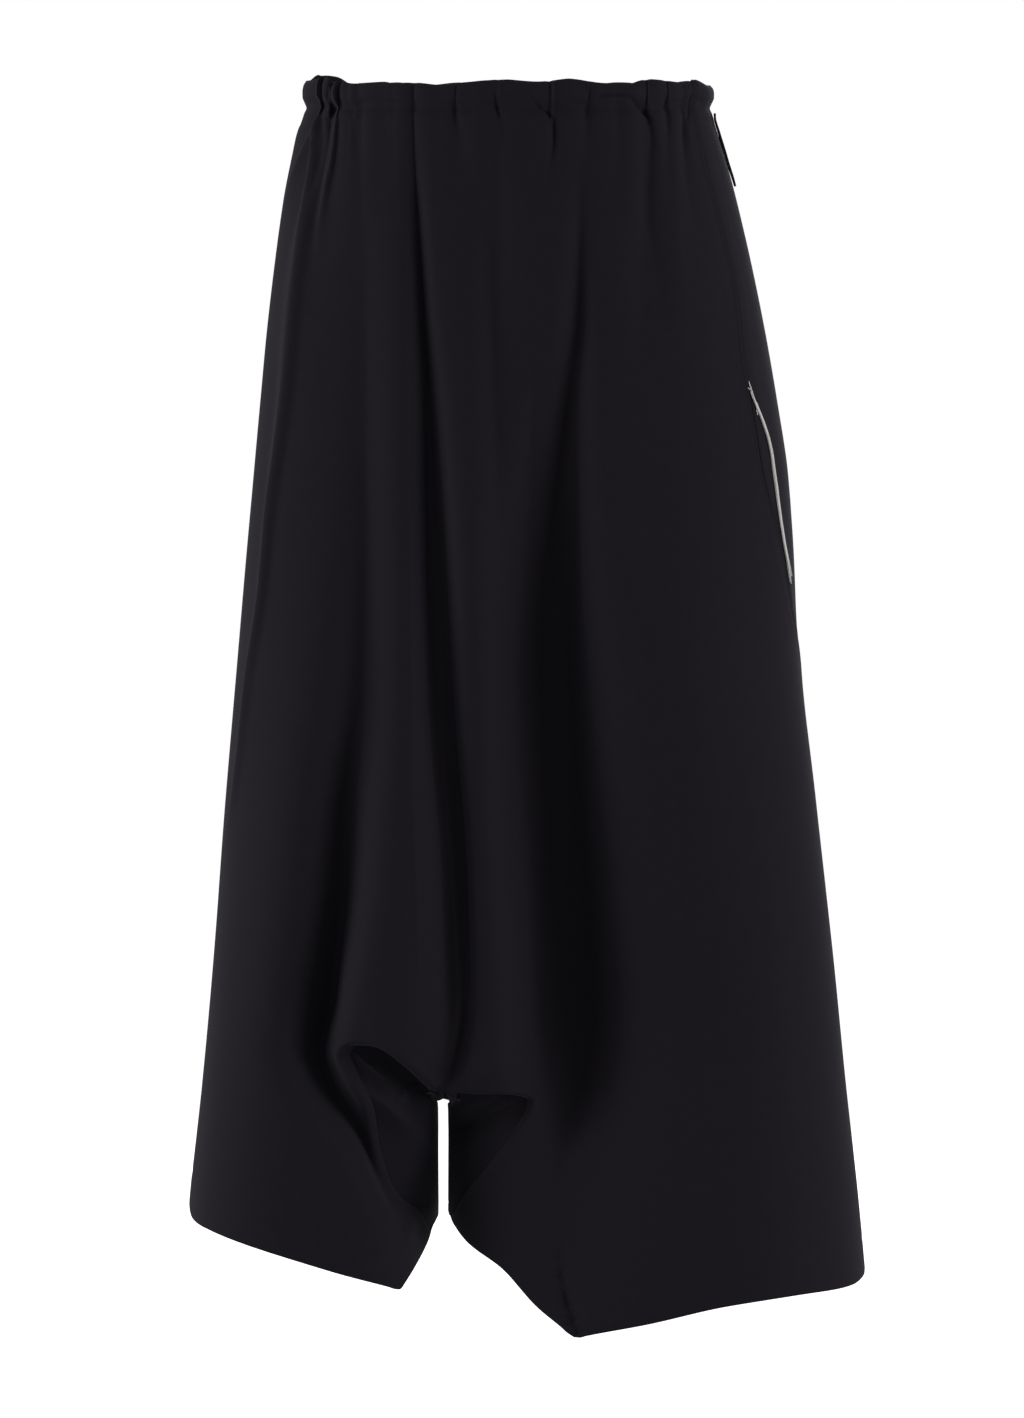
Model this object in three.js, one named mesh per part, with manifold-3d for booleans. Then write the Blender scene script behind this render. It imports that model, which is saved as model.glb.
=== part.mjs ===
// Harem pants with a low, off-centre crotch, one short leg and one long leg, a gathered
// elastic waist, a side-seam pocket, the end of a waist tie and a tail of basting threads.
// Millimetres, +Z up. The wearer faces -Y, the short leg is at -X and the long leg at +X.
// The origin is the middle of the waist, where the wearer holds the garment up.
import * as THREE from 'three';
import Module from 'manifold-3d';

// Driving sizes
const wall = 1.6; // every panel's cloth, made solid
const seamGap = 0.32; // between pieces that are sewn together
const waistDrop = 12.5; // from the middle of the waist to the panels' top edge
const waistTilt = 0.1; // the waist is lower in front, by this share of the depth
const tiltFade = 260; // the tilt has gone this far below the waist
const gatherFade = 150; // below this the columns follow the main folds and not the gathers
const crotchZ = -690; // the front rise seam ends here
const bandTop = 13;
const bandWall = 3;
const pocketTop = -198;
const pocketBottom = -338;
const pocketPull = 1.5; // the pocket mouth stands open by this much on each side
const facingWall = 1.2;
const facingWidth = 12; // on each side of the seam
const facingClear = 0.55; // inside the panels
const tieWidth = 8.5;
const tieWall = 2;
const tiePlace = 0.092; // the tie hangs behind the side seam, at this u of the back panel
const threadWidth = 0.6;
const threadLength = 138;
const threadKnot = [2.6, 1.1, 3]; // half sizes across, outwards and up

const black = '#17161b';
const threadWhite = '#e9e6df';

const mix = (a, b, s) => a + (b - a) * s;
const clamp01 = (s) => Math.min(1, Math.max(0, s));

function ease(from, to, x) {
  const s = clamp01((x - from) / (to - from));
  return s * s * (3 - 2 * s);
}

function named(columns, rows) {
  return rows.map((row) => Object.fromEntries(columns.map((name, k) => [name, row[k]])));
}

// A monotone cubic curve through points, level past both ends.
function smoothCurve(places, values) {
  const turned = places[0] > places[places.length - 1];
  const at = turned ? [...places].reverse() : places;
  const value = turned ? [...values].reverse() : values;
  const last = at.length - 1;
  const slope = at.slice(1).map((x, i) => (value[i + 1] - value[i]) / (x - at[i]));
  const tangent = value.map((_, i) => {
    if (i === 0) return slope[0];
    if (i === last) return slope[last - 1];
    const product = slope[i - 1] * slope[i];
    return product <= 0 ? 0 : (2 * product) / (slope[i - 1] + slope[i]);
  });
  return (x) => {
    if (x <= at[0]) return value[0];
    if (x >= at[last]) return value[last];
    let i = 0;
    while (x > at[i + 1]) i += 1;
    const h = at[i + 1] - at[i];
    const s = (x - at[i]) / h;
    const s2 = s * s;
    const s3 = s2 * s;
    return (2 * s3 - 3 * s2 + 1) * value[i] + (s3 - 2 * s2 + s) * h * tangent[i]
      + (3 * s2 - 2 * s3) * value[i + 1] + (s3 - s2) * h * tangent[i + 1];
  };
}

// Each column of a table becomes a smooth curve over the table's first column.
function curves(columns, rows) {
  const at = rows.map((row) => row[0]);
  return Object.fromEntries(
    columns.map((name, k) => [name, smoothCurve(at, rows.map((row) => row[k]))]),
  );
}

// The outline at each level: both sides, the depth in front and behind, and how square the
// section is.
const outline = curves(['z', 'left', 'right', 'front', 'back', 'square'], [
  [0, -142, 142.5, 97, 99, 0.05],
  [-12.5, -143, 143.5, 98, 100, 0.05],
  [-22, -146.8, 146, 99.3, 102, 0.06],
  [-38, -150.3, 151, 101.5, 105.5, 0.08],
  [-70, -156.5, 159.6, 106, 112, 0.12],
  [-154, -167, 178.4, 114, 122, 0.18],
  [-210, -172.3, 188.5, 117.5, 125, 0.2],
  [-266, -177.5, 196.8, 121, 128, 0.22],
  [-320, -182.5, 200.5, 124, 129.5, 0.235],
  [-378, -187.5, 202.5, 127, 131, 0.25],
  [-490, -197, 214.5, 131, 132, 0.27],
  [-602, -205.5, 227, 133, 131, 0.28],
  [-686, -213, 235.5, 132, 128, 0.28],
  [-770, -222, 245, 130, 126, 0.28],
  [-860, -226, 253, 128, 124, 0.28],
]);

// Main folds: where each one runs, how deep it is and how far it spreads to each side.
const foldColumns = ['z', 'across', 'deep', 'left', 'right'];
const riseFold = curves(foldColumns, [
  [-12, -65, 2, 5, 5],
  [-50, -64, 4, 6, 6],
  [-81, -62.5, 7, 7, 6],
  [-150, -59, 12, 8, 7],
  [-216, -55, 15, 10, 8],
  [-290, -52.5, 17, 12, 9],
  [-420, -46, 19, 16, 12],
  [-555, -36, 21, 20, 15],
  [-623, -33, 20, 21, 17],
  [-660, -39, 20, 18, 22],
  [-690, -46, 26, 18, 24],
  [-705, -46, 10, 18, 24],
  [-720, -46, 0, 18, 24],
]);
const wideFold = curves(foldColumns, [
  [-35, 47, 0, 7, 5],
  [-81, 50, 4, 8, 6],
  [-150, 50, 10, 10, 6],
  [-216, 45, 15, 15, 9],
  [-290, 40, 21, 24, 14],
  [-352, 37, 28, 34, 20],
  [-420, 36, 36, 42, 28],
  [-488, 36, 43, 46, 36],
  [-555, 36, 49, 46, 44],
  [-623, 38, 51, 40, 52],
  [-665, 37, 45, 33, 56],
  [-710, 32, 30, 30, 56],
  [-760, 30, 13, 30, 54],
  [-800, 30, 4, 30, 50],
]);
const drapeFold = curves(foldColumns, [
  [-60, -101, 0, 10, 10],
  [-100, -99, 2, 12, 12],
  [-216, -99, 3.5, 15, 13],
  [-290, -100, 5, 16, 14],
  [-352, -102, 8.5, 17, 15],
  [-420, -108.5, 15, 17, 14],
  [-488, -117, 22, 17, 13],
  [-555, -123.5, 29, 17, 12],
  [-623, -129.5, 33, 18, 11],
  [-657, -131, 31, 19, 10],
  [-675, -124, 27, 18, 12],
  [-709, -95, 20, 16, 13],
  [-748, -68, 15, 13, 10],
  [-764, -57, 9, 11, 8],
  [-774, -51, 3, 10, 8],
]);
const middleFold = curves(foldColumns, [
  [-30, -14, 0, 12, 11],
  [-70, -12, 3.5, 13, 12],
  [-110, -11, 5.5, 13, 13],
  [-150, -10.5, 5.5, 13, 14],
  [-216, -9, 3.5, 14, 16],
  [-290, -6, 1.2, 15, 18],
  [-352, -4, 0, 15, 18],
]);
const cornerRidge = curves(foldColumns, [
  [-60, -139, 0, 6, 8],
  [-100, -141.5, -3, 8, 12],
  [-216, -149, -4.5, 9, 16],
  [-290, -158, -4.5, 8, 16],
  [-352, -167.5, -4, 7, 16],
  [-420, -177, -3, 6, 14],
  [-488, -189, -1.5, 5, 12],
  [-555, -196, 0, 5, 10],
]);
const backRiseFold = curves(foldColumns, [
  [-12, -8, 2, 6, 6],
  [-150, -12, 7, 9, 9],
  [-290, -18, 12, 13, 13],
  [-420, -26, 18, 18, 17],
  [-555, -36, 24, 24, 22],
  [-660, -44, 26, 28, 26],
  [-690, -46, 14, 28, 26],
  [-715, -46, 0, 28, 26],
]);
const backLongFold = curves(foldColumns, [
  [-40, 62, 0, 8, 8],
  [-120, 62, 4, 8, 8],
  [-216, 64, 8, 14, 16],
  [-352, 66, 17, 20, 28],
  [-488, 72, 24, 26, 38],
  [-600, 76, 23, 30, 42],
  [-700, 78, 13, 34, 42],
  [-790, 78, 3, 34, 42],
]);
const backShortFold = curves(foldColumns, [
  [-40, -84, 0, 8, 8],
  [-120, -85, 4, 9, 9],
  [-216, -88, 7, 12, 12],
  [-352, -96, 12, 16, 16],
  [-488, -106, 19, 20, 18],
  [-600, -114, 20, 22, 20],
  [-700, -122, 11, 24, 22],
  [-770, -124, 3, 24, 22],
]);
const backSideFold = curves(foldColumns, [
  [-120, 142, 0, 10, 10],
  [-290, 150, 6, 16, 16],
  [-488, 160, 8, 22, 22],
  [-700, 172, 4, 24, 24],
  [-780, 176, 0, 24, 24],
]);
const folds = {
  front: [riseFold, wideFold, drapeFold, middleFold, cornerRidge],
  back: [backRiseFold, backLongFold, backShortFold, backSideFold],
};

// Gathers under the waistband, one row each, from the side seam to the rise seam.
const gatherColumns = ['across', 'deep', 'reach'];
const frontShortGathers = named(gatherColumns, [
  [-130, 4.5, 130],
  [-118, 4.5, 120],
  [-101, 4, 90],
  [-84, 2.5, 60],
]);
const frontLongGathers = named(gatherColumns, [
  [122, 4, 110],
  [110, 2.5, 60],
  [95, 5, 180],
  [75, 2.5, 60],
  [54, 4, 60],
  [31, 4.5, 85],
  [-8, 4, 130],
  [-36, 4, 90],
]);
const backShortGathers = named(gatherColumns, [
  [-133, 4, 90],
  [-112, 3, 120],
  [-84, 4.5, 150],
  [-58, 3, 70],
  [-31, 4.5, 110],
]);
const backLongGathers = named(gatherColumns, [
  [142, 3.5, 90],
  [120, 4.5, 120],
  [92, 3, 80],
  [62, 4.5, 140],
  [38, 3, 90],
  [14, 4, 110],
]);

// Sizes of the two legs. Side is the side seam, end is the front panel's inner edge: the
// rise seam, then the crotch drape's lower edge, then the crease down to the hem. Rows run
// from t = 0 at the waist, 1 at the crotch, 2 at the drape's corner, to 3 at the hem.
const legs = {
  short: {
    across: -1,
    side: outline.left,
    inner: -49.6,
    frontDepth: 127,
    backDepth: 121,
    sideTurn: () => 0,
    sideZ: curves(['t', 'z'], [
      [0, -12.5],
      [0.5, -310],
      [1, -602],
      [1.6, -637],
      [1.9, -655],
      [2, -666],
      [3, -770],
    ]).z,
    end: curves(['t', 'x', 'z'], [
      [1, -46, -690],
      [1.25, -56, -682],
      [1.5, -70, -668],
      [1.7, -86, -658.5],
      [1.88, -105, -656],
      [2, -112, -662],
      [2.12, -104, -676],
      [2.25, -93, -692],
      [2.5, -75, -727],
      [2.75, -60, -757],
      [3, -50.6, -778],
    ]),
    hem: curves(['x', 'z'], [
      [-222, -771],
      [-217, -776.5],
      [-203, -781],
      [-167, -792],
      [-118, -807],
      [-74, -820.5],
      [-64, -807.5],
      [-55.5, -794],
      [-50.6, -778],
    ]).z,
    backHem: curves(['u', 'z'], [[0, -770], [0.35, -782], [0.7, -780], [1, -778]]).z,
  },
  long: {
    across: 1,
    side: outline.right,
    inner: -41.4,
    frontDepth: 128,
    backDepth: 122,
    sideTurn: curves(['z', 'turn'], [
      [-12, 0.46],
      [-54, 0.53],
      [-126, 0.54],
      [-189, 0.61],
      [-255, 0.61],
      [-281, 0.57],
      [-303, 0.5],
      [-328, 0.43],
      [-357, 0.33],
      [-380, 0.18],
      [-410, 0],
      [-600, -0.12],
      [-820, -0.15],
    ]).turn,
    sideZ: curves(['t', 'z'], [
      [0, -12.5],
      [0.5, -316],
      [1, -622],
      [2, -704],
      [3, -817],
    ]).z,
    end: curves(['t', 'x', 'z'], [
      [1, -46, -690],
      [1.5, -26, -690],
      [2, 7.5, -695],
      [2.3, -4, -716],
      [2.6, -18, -738],
      [2.8, -31, -759],
      [3, -40.3, -778],
    ]),
    hem: curves(['x', 'z'], [
      [-40.3, -778],
      [-28, -791],
      [-4, -807],
      [20, -832],
      [46, -852],
      [93, -842.5],
      [150, -830],
      [201, -823.5],
      [237, -821],
      [250, -817],
    ]).z,
    backHem: curves(['u', 'z'], [[0, -817], [0.35, -806], [0.7, -786], [1, -778]]).z,
  },
};

// The back rise seam, down the back and then forward under the crotch to the front seam.
const backRise = curves(['t', 'x', 'y', 'z'], [
  [0, -8, 98, -12.5],
  [0.3, -17, 113, -260],
  [0.62, -32, 106, -510],
  [0.74, -41, 100, -625],
  [0.8, -44, 88, -668],
  [0.85, -46, 62, -688],
  [0.9, -46, 22, -694],
  [0.95, -46, -40, -694],
  [1, -46, -105, -690],
]);
// How far round its leg a back panel reaches above the crotch.
const backWrap = curves(['t', 'turn'], [
  [0.3, 1.75],
  [0.62, 2.25],
  [0.8, 2.75],
  [0.9, 3.03],
  [1, Math.PI],
]).turn;

// The level of a back row where it comes round to the inner face of the leg.
const innerPlace = 0.72;
const innerLevel = curves(['t', 'z'], [
  [0.8, -600],
  [0.85, -640],
  [0.9, -672],
  [0.95, -690],
  [1, -704],
  [1.5, -713],
  [2, -725],
  [2.5, -750],
  [3, -777],
]).z;

// A section is followed by its angle from the side, towards the front or the back. It is an
// ellipse with corners pushed out by square.
function sectionPoint(section, angle, facing) {
  const c = Math.cos(angle);
  const s = Math.sin(angle) * facing;
  const depth = s < 0 ? section.front : section.back;
  return [
    section.centre + section.half * c * (1 + section.square * s * s),
    depth * s * (1 + section.square * c * c),
  ];
}

function angleAt(section, x) {
  let low = 0;
  let high = Math.PI;
  for (let i = 0; i < 36; i += 1) {
    const middle = (low + high) / 2;
    const away = (sectionPoint(section, middle, 1)[0] - x) * Math.sign(section.half);
    if (away > 0) low = middle;
    else high = middle;
  }
  return (low + high) / 2;
}

function wholeSection(leg, z) {
  const centre = (outline.left(z) + outline.right(z)) / 2;
  return {
    centre,
    half: leg.side(z) - centre,
    front: outline.front(z),
    back: outline.back(z),
    square: outline.square(z),
  };
}

function legSection(leg, z) {
  const centre = (leg.side(z) + leg.inner) / 2;
  return {
    centre,
    half: leg.side(z) - centre,
    front: leg.frontDepth,
    back: leg.backDepth,
    square: 0.2,
  };
}

function foldDepth(facing, x, z) {
  let deep = 0;
  for (const fold of facing < 0 ? folds.front : folds.back) {
    const away = x - fold.across(z);
    const width = away < 0 ? fold.left(z) : fold.right(z);
    deep += fold.deep(z) * Math.exp(-(Math.abs(away / width) ** 1.7));
  }
  return deep;
}

const panels = {
  front_short_leg: {
    leg: legs.short,
    facing: -1,
    gathers: frontShortGathers,
    mainFold: drapeFold,
    mainGather: 3,
    perGather: 4,
  },
  front_long_leg: {
    leg: legs.long,
    facing: -1,
    gathers: frontLongGathers,
    mainFold: wideFold,
    mainGather: 5,
    perGather: 3,
  },
  back_short_leg: {
    leg: legs.short,
    facing: 1,
    partner: 'front_short_leg',
    gathers: backShortGathers,
    mainFold: backShortFold,
    mainGather: 3,
    perGather: 4,
  },
  back_long_leg: {
    leg: legs.long,
    facing: 1,
    partner: 'front_long_leg',
    gathers: backLongGathers,
    mainFold: backLongFold,
    mainGather: 4,
    perGather: 4,
  },
};

// How deep the gathers press in at u, by the level below the waist.
function gatherDepth(panel, u, z) {
  const spaces = panel.gathers.length + 1;
  const below = Math.max(0, -waistDrop - z);
  let deep = 0;
  panel.gathers.forEach((gather, i) => {
    const away = Math.abs(u * spaces - (i + 1));
    const left = clamp01(1 - below / gather.reach);
    deep += gather.deep * left ** 1.3 * Math.exp(-((away / 0.22) ** 1.6));
  });
  return deep;
}

// The angle of column u in the whole garment's section: through the gathers at the waist,
// through the main fold lower down, and evenly spaced once it is freed from the fold.
function columnAngle(panel, section, u, z, endX, freed) {
  const spaces = panel.gathers.length + 1;
  const main = panel.mainGather;
  const start = -panel.facing * panel.leg.sideTurn(z);
  const end = angleAt(section, endX);
  const even = mix(start, end, main / spaces);
  const fold = mix(angleAt(section, panel.mainFold.across(z)), even, freed);
  const low = ease(0, gatherFade, -waistDrop - z);
  const knot = (g) => {
    if (g === 0) return start;
    if (g === spaces) return end;
    const below = g <= main
      ? mix(start, fold, g / main)
      : mix(fold, end, (g - main) / (spaces - main));
    return mix(angleAt(section, panel.gathers[g - 1].across), below, low);
  };
  const g = Math.min(spaces - 1, Math.max(0, Math.floor(u * spaces)));
  return mix(knot(g), knot(g + 1), u * spaces - g);
}

// A point of a panel at level z: a blend of the whole garment's section and of one leg's
// section, pressed in along its normal by the folds and gathers there.
function formPoint(panel, z, u, row) {
  const whole = wholeSection(panel.leg, z);
  const single = legSection(panel.leg, z);
  const start = -panel.facing * panel.leg.sideTurn(z);
  const wrap = row.wrap ?? angleAt(single, row.endX);
  const matched = row.matched * ease(0.1, 0.35, u);
  const base = (place) => {
    const angle = columnAngle(panel, whole, place, z, row.endX, row.freed);
    const wide = sectionPoint(whole, angle, panel.facing);
    const even = mix(start, wrap, place);
    const same = angleAt(single, wide[0]);
    const narrow = sectionPoint(single, mix(even, same, matched), panel.facing);
    return [mix(wide[0], narrow[0], row.share), mix(wide[1], narrow[1], row.share)];
  };
  const [x, y] = base(u);
  const step = 0.002;
  const [xa, ya] = base(u + step);
  const [xb, yb] = base(u - step);
  const length = Math.hypot(xa - xb, ya - yb);
  const turn = panel.facing * panel.leg.across;
  const depth = y * panel.facing;
  const fade = mix(ease(0, 14, depth), ease(10, 70, depth), row.share);
  const deep = foldDepth(panel.facing, x, z) * fade + gatherDepth(panel, u, z);
  return [x - ((ya - yb) / length) * deep * turn, y + ((xa - xb) / length) * deep * turn];
}

const tilted = (y, z) => z + y * waistTilt * (1 - ease(0, tiltFade, -z));

function frontPoint(panel, t, u) {
  const { leg } = panel;
  if (u === 1 && t <= 1 && leg === legs.long) return frontPoint(panels.front_short_leg, t, 1);
  const rise = mix(-waistDrop, crotchZ, t);
  const end = t > 1 ? [leg.end.x(t), leg.end.z(t)] : [riseFold.across(rise), rise];
  const power = mix(4, 2.2, ease(1.8, 3, t));
  let z = mix(leg.sideZ(t), end[1], u ** power);
  const [x, y] = formPoint(panel, z, u, {
    endX: end[0],
    share: ease(1, 2.6, t),
    matched: 1 - ease(1.8, 3, t),
    freed: ease(1.2, 3, t),
  });
  if (t > 2) {
    const level = mix(leg.sideZ(3), leg.end.z(3), u ** power);
    const keepsCrease = 1 - u ** 6 * (1 - ease(2.9, 3, t));
    z += (leg.hem(x) - level) * ease(2, 3, t) ** 1.3 * keepsCrease;
  }
  return [x, y, tilted(y, z)];
}

function backPoint(panel, t, u) {
  const { leg } = panel;
  const partner = panels[panel.partner];
  const side = frontPoint(partner, t, 0);
  const rise = [backRise.x(t), backRise.y(t), tilted(backRise.y(t), backRise.z(t))];
  const end = t >= 1 ? frontPoint(partner, t, 1) : rise;
  if (u === 0) return side;
  if (u === 1) return end;
  const sideZ = leg.sideZ(t);
  const endZ = t >= 1 ? end[2] : backRise.z(t);
  const plain = mix(sideZ, endZ, u ** 2.2);
  const bent = u < innerPlace
    ? mix(sideZ, innerLevel(t), (u / innerPlace) ** 2.2)
    : mix(innerLevel(t), endZ, ((u - innerPlace) / (1 - innerPlace)) ** 1.5);
  let z = mix(plain, bent, ease(0.45, 0.9, t));
  const single = legSection(leg, z);
  const row = {
    endX: Math.min(end[0], backRise.x(0)),
    wrap: t > 1 ? 2 * Math.PI - angleAt(single, end[0]) : backWrap(t),
    share: ease(0.3, 1.02, t),
    matched: 0,
    freed: 0,
  };
  const own = formPoint(panel, z, u, row);
  const ownSide = formPoint(panel, z, 0, row);
  const ownEnd = formPoint(panel, z, 1, row);
  const towardsSide = 1 - ease(0, 0.35, u);
  const towardsEnd = ease(0.55, 1, u);
  const [x, y] = own.map((v, k) => (
    v + (side[k] - ownSide[k]) * towardsSide + (end[k] - ownEnd[k]) * towardsEnd
  ));
  if (t > 2) {
    const last = mix(leg.sideZ(3), leg.end.z(3), u);
    z += (leg.backHem(u) - last) * ease(2, 3, t) * (1 - ease(0.85, 1, u));
  }
  return [x, y, tilted(y, z)];
}

const minus = (a, b) => a.map((v, k) => v - b[k]);
const moved = (p, n, s) => p.map((v, k) => v + n[k] * s);
const blend = (a, b, s) => a.map((v, k) => mix(v, b[k], s));
const dot = (a, b) => a[0] * b[0] + a[1] * b[1] + a[2] * b[2];
const cross = (a, b) => [
  a[1] * b[2] - a[2] * b[1],
  a[2] * b[0] - a[0] * b[2],
  a[0] * b[1] - a[1] * b[0],
];
const unit = (a) => {
  const length = Math.hypot(...a) || 1;
  return a.map((v) => v / length);
};

// Rows down the panels, closer together where the form turns.
const rowStretches = named(['from', 'to', 'rows'], [
  [0, 0.3055, 7],
  [0.3055, 0.536, 4],
  [0.536, 0.78, 4],
  [0.78, 1, 5],
  [1, 2, 5],
  [2, 3, 5],
]);
const rows = [0];
rowStretches.forEach((stretch) => {
  for (let i = 1; i <= stretch.rows; i += 1) {
    rows.push(mix(stretch.from, stretch.to, i / stretch.rows));
  }
});

function panelGrid(panel) {
  const point = panel.facing < 0 ? frontPoint : backPoint;
  const columns = (panel.gathers.length + 1) * panel.perGather;
  return rows.map((t) => (
    Array.from({ length: columns + 1 }, (_, j) => point(panel, t, j / columns))
  ));
}

// Outward normals of every grid. Points shared by two pieces get one normal between them, so
// that the walls meet edge to edge.
function gridNormals(grids) {
  const shared = new Map();
  const key = (p) => p.map((v) => Math.round(v * 20)).join(' ');
  for (const { grid, outward } of grids) {
    for (let i = 0; i + 1 < grid.length; i += 1) {
      for (let j = 0; j + 1 < grid[i].length; j += 1) {
        const corners = [grid[i][j], grid[i][j + 1], grid[i + 1][j + 1], grid[i + 1][j]];
        const face = cross(minus(corners[2], corners[0]), minus(corners[3], corners[1]));
        const away = unit(face).map((v) => v * outward);
        for (const corner of corners) {
          const sum = shared.get(key(corner)) ?? [0, 0, 0];
          shared.set(key(corner), moved(sum, away, 1));
        }
      }
    }
  }
  return grids.map(({ grid }) => grid.map((row) => row.map((p) => unit(shared.get(key(p))))));
}

// Moves a grid's two side edges in from their seams, within its own cloth, until the wall's end
// stands the wanted distance from the seam's middle plane.
function pulledBack(piece, normals, pull) {
  const { grid } = piece;
  const own = gridNormals([piece])[0];
  const last = grid[0].length - 1;
  return grid.map((row, i) => row.map((p, j) => {
    if (j !== 0 && j !== last) return p;
    const before = grid[Math.max(i - 1, 0)][j];
    const after = grid[Math.min(i + 1, grid.length - 1)][j];
    const along = unit(minus(after, before));
    const square = unit(cross(along, normals[i][j]));
    const across = unit(cross(along, own[i][j]));
    const into = (j === 0 ? 1 : -1) * piece.outward;
    const share = Math.max(0.4, Math.abs(dot(across, square)));
    return moved(p, across, (into * pull(i, j === 0)) / share);
  }));
}

// A wall of cloth about a grid of points. Its rim is closed all round.
function clothGeometry(grid, normals, thick, outward) {
  const points = [];
  const faces = [];
  const width = grid[0].length;
  const count = grid.length * width;
  for (const side of [thick / 2, -thick / 2]) {
    grid.forEach((row, i) => row.forEach((p, j) => {
      points.push(...moved(p, normals[i][j], side));
    }));
  }
  const triangle = (a, b, c) => (outward > 0 ? faces.push(a, b, c) : faces.push(a, c, b));
  const quad = (a, b, c, d) => {
    triangle(a, b, c);
    triangle(a, c, d);
  };
  const at = (i, j, inner) => i * width + j + inner * count;
  const gap = (p, q) => Math.hypot(...minus(p, q));
  for (let i = 0; i + 1 < grid.length; i += 1) {
    for (let j = 0; j + 1 < width; j += 1) {
      const down = gap(grid[i][j], grid[i + 1][j + 1]);
      const up = gap(grid[i][j + 1], grid[i + 1][j]);
      const ring = [[i, j], [i, j + 1], [i + 1, j + 1], [i + 1, j]];
      const first = down <= up ? 0 : 1;
      const [a, b, c, d] = [0, 1, 2, 3].map((k) => ring[(first + k) % 4]);
      quad(at(...a, 0), at(...b, 0), at(...c, 0), at(...d, 0));
      quad(at(...a, 1), at(...d, 1), at(...c, 1), at(...b, 1));
    }
  }
  for (let j = 0; j + 1 < width; j += 1) {
    const last = grid.length - 1;
    quad(at(0, j, 0), at(0, j, 1), at(0, j + 1, 1), at(0, j + 1, 0));
    quad(at(last, j, 0), at(last, j + 1, 0), at(last, j + 1, 1), at(last, j, 1));
  }
  for (let i = 0; i + 1 < grid.length; i += 1) {
    const last = width - 1;
    quad(at(i, 0, 0), at(i + 1, 0, 0), at(i + 1, 0, 1), at(i, 0, 1));
    quad(at(i, last, 0), at(i, last, 1), at(i + 1, last, 1), at(i + 1, last, 0));
  }
  return meshGeometry(points, faces);
}

function meshGeometry(points, faces) {
  const geometry = new THREE.BufferGeometry();
  geometry.setAttribute('position', new THREE.Float32BufferAttribute(points, 3));
  geometry.setIndex(faces);
  geometry.computeVertexNormals();
  return geometry;
}

const group = new THREE.Group();
group.name = 'harem_pants';

function add(name, geometry, color, roughness) {
  const material = new THREE.MeshStandardMaterial({ color, roughness, metalness: 0 });
  material.name = `${name}_cloth`;
  const mesh = new THREE.Mesh(geometry, material);
  mesh.name = name;
  group.add(mesh);
}

// The four panels
const names = Object.keys(panels);
const grids = names.map((name) => {
  const panel = panels[name];
  return { grid: panelGrid(panel), outward: -panel.facing * panel.leg.across };
});
const normals = gridNormals(grids);
const pocketRow = (i) => {
  const z = legs.long.sideZ(rows[i]);
  return z < pocketTop - 1 && z > pocketBottom + 1;
};
names.forEach((name, k) => {
  const { outward } = grids[k];
  const onPocket = panels[name].leg === legs.long;
  const pull = (i, side) => (onPocket && side && pocketRow(i) ? pocketPull : seamGap / 2);
  const drawn = pulledBack(grids[k], normals[k], pull);
  add(name, clothGeometry(drawn, normals[k], wall, outward), black, 0.9);
});

// The waistband stands on the panels' top edge, column by column, and takes up their gathers.
const bandProfile = named(['z', 'out'], [
  [-waistDrop + seamGap, -0.6],
  [-8.5, -2.1],
  [-5.5, -3.2],
  [-2, -2.3],
  [2.5, -1.4],
  [7, -1.4],
  [10.5, -2],
  [bandTop, -3],
]);
const bandRing = [];
['front_short_leg', 'front_long_leg', 'back_long_leg', 'back_short_leg'].forEach((name) => {
  const panel = panels[name];
  const point = panel.facing < 0 ? frontPoint : backPoint;
  const columns = (panel.gathers.length + 1) * panel.perGather;
  const forward = name === 'front_short_leg' || name === 'back_long_leg';
  for (let j = 0; j < columns; j += 1) {
    const u = forward ? j / columns : 1 - j / columns;
    bandRing.push({ top: point(panel, 0, u), gather: gatherDepth(panel, u, -waistDrop) });
  }
});
const ringAt = (i) => bandRing[(i + bandRing.length) % bandRing.length];
const bandPoints = [];
const bandFaces = [];
bandRing.forEach(({ top, gather }, i) => {
  const along = unit(minus(ringAt(i + 1).top, ringAt(i - 1).top));
  const out = unit([along[1], -along[0], 0]);
  const middle = bandProfile.map(({ z, out: bulge }, k) => {
    const rise = k / (bandProfile.length - 1);
    const wave = 1.1 * Math.sin(i * 1.9) * rise;
    const lift = 1.3 * Math.sin(i * 0.83 + 1) * rise ** 3;
    const p = moved(top, out, bulge + gather * 0.25 * rise + wave);
    return [p[0], p[1], top[2] + waistDrop + z + lift];
  });
  const taper = (k) => (k === bandProfile.length - 1 ? 0.55 : 1);
  middle.forEach((p, k) => bandPoints.push(...moved(p, out, (bandWall / 2) * taper(k))));
  [...middle].reverse().forEach((p, k) => {
    bandPoints.push(...moved(p, out, (-bandWall / 2) * taper(middle.length - 1 - k)));
  });
});
const loop = bandProfile.length * 2;
bandRing.forEach((_, i) => {
  const next = (i + 1) % bandRing.length;
  for (let k = 0; k < loop; k += 1) {
    const up = (k + 1) % loop;
    const corner = [i * loop + k, next * loop + k, next * loop + up, i * loop + up];
    bandFaces.push(corner[0], corner[1], corner[2], corner[0], corner[2], corner[3]);
  }
});
add('waistband', meshGeometry(bandPoints, bandFaces), black, 0.9);

// A point and normal of a seam's meshed line at level z, carried sideways on the panel.
const longFront = names.indexOf('front_long_leg');
const longBack = names.indexOf('back_long_leg');

function beside(k, i, reach) {
  const { grid } = grids[k];
  const seam = grid[i][0];
  const next = grid[i][1];
  const share = reach / Math.hypot(...minus(next, seam));
  return {
    point: blend(seam, next, share),
    normal: blend(normals[k][i][0], normals[k][i][1], share),
  };
}

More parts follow.
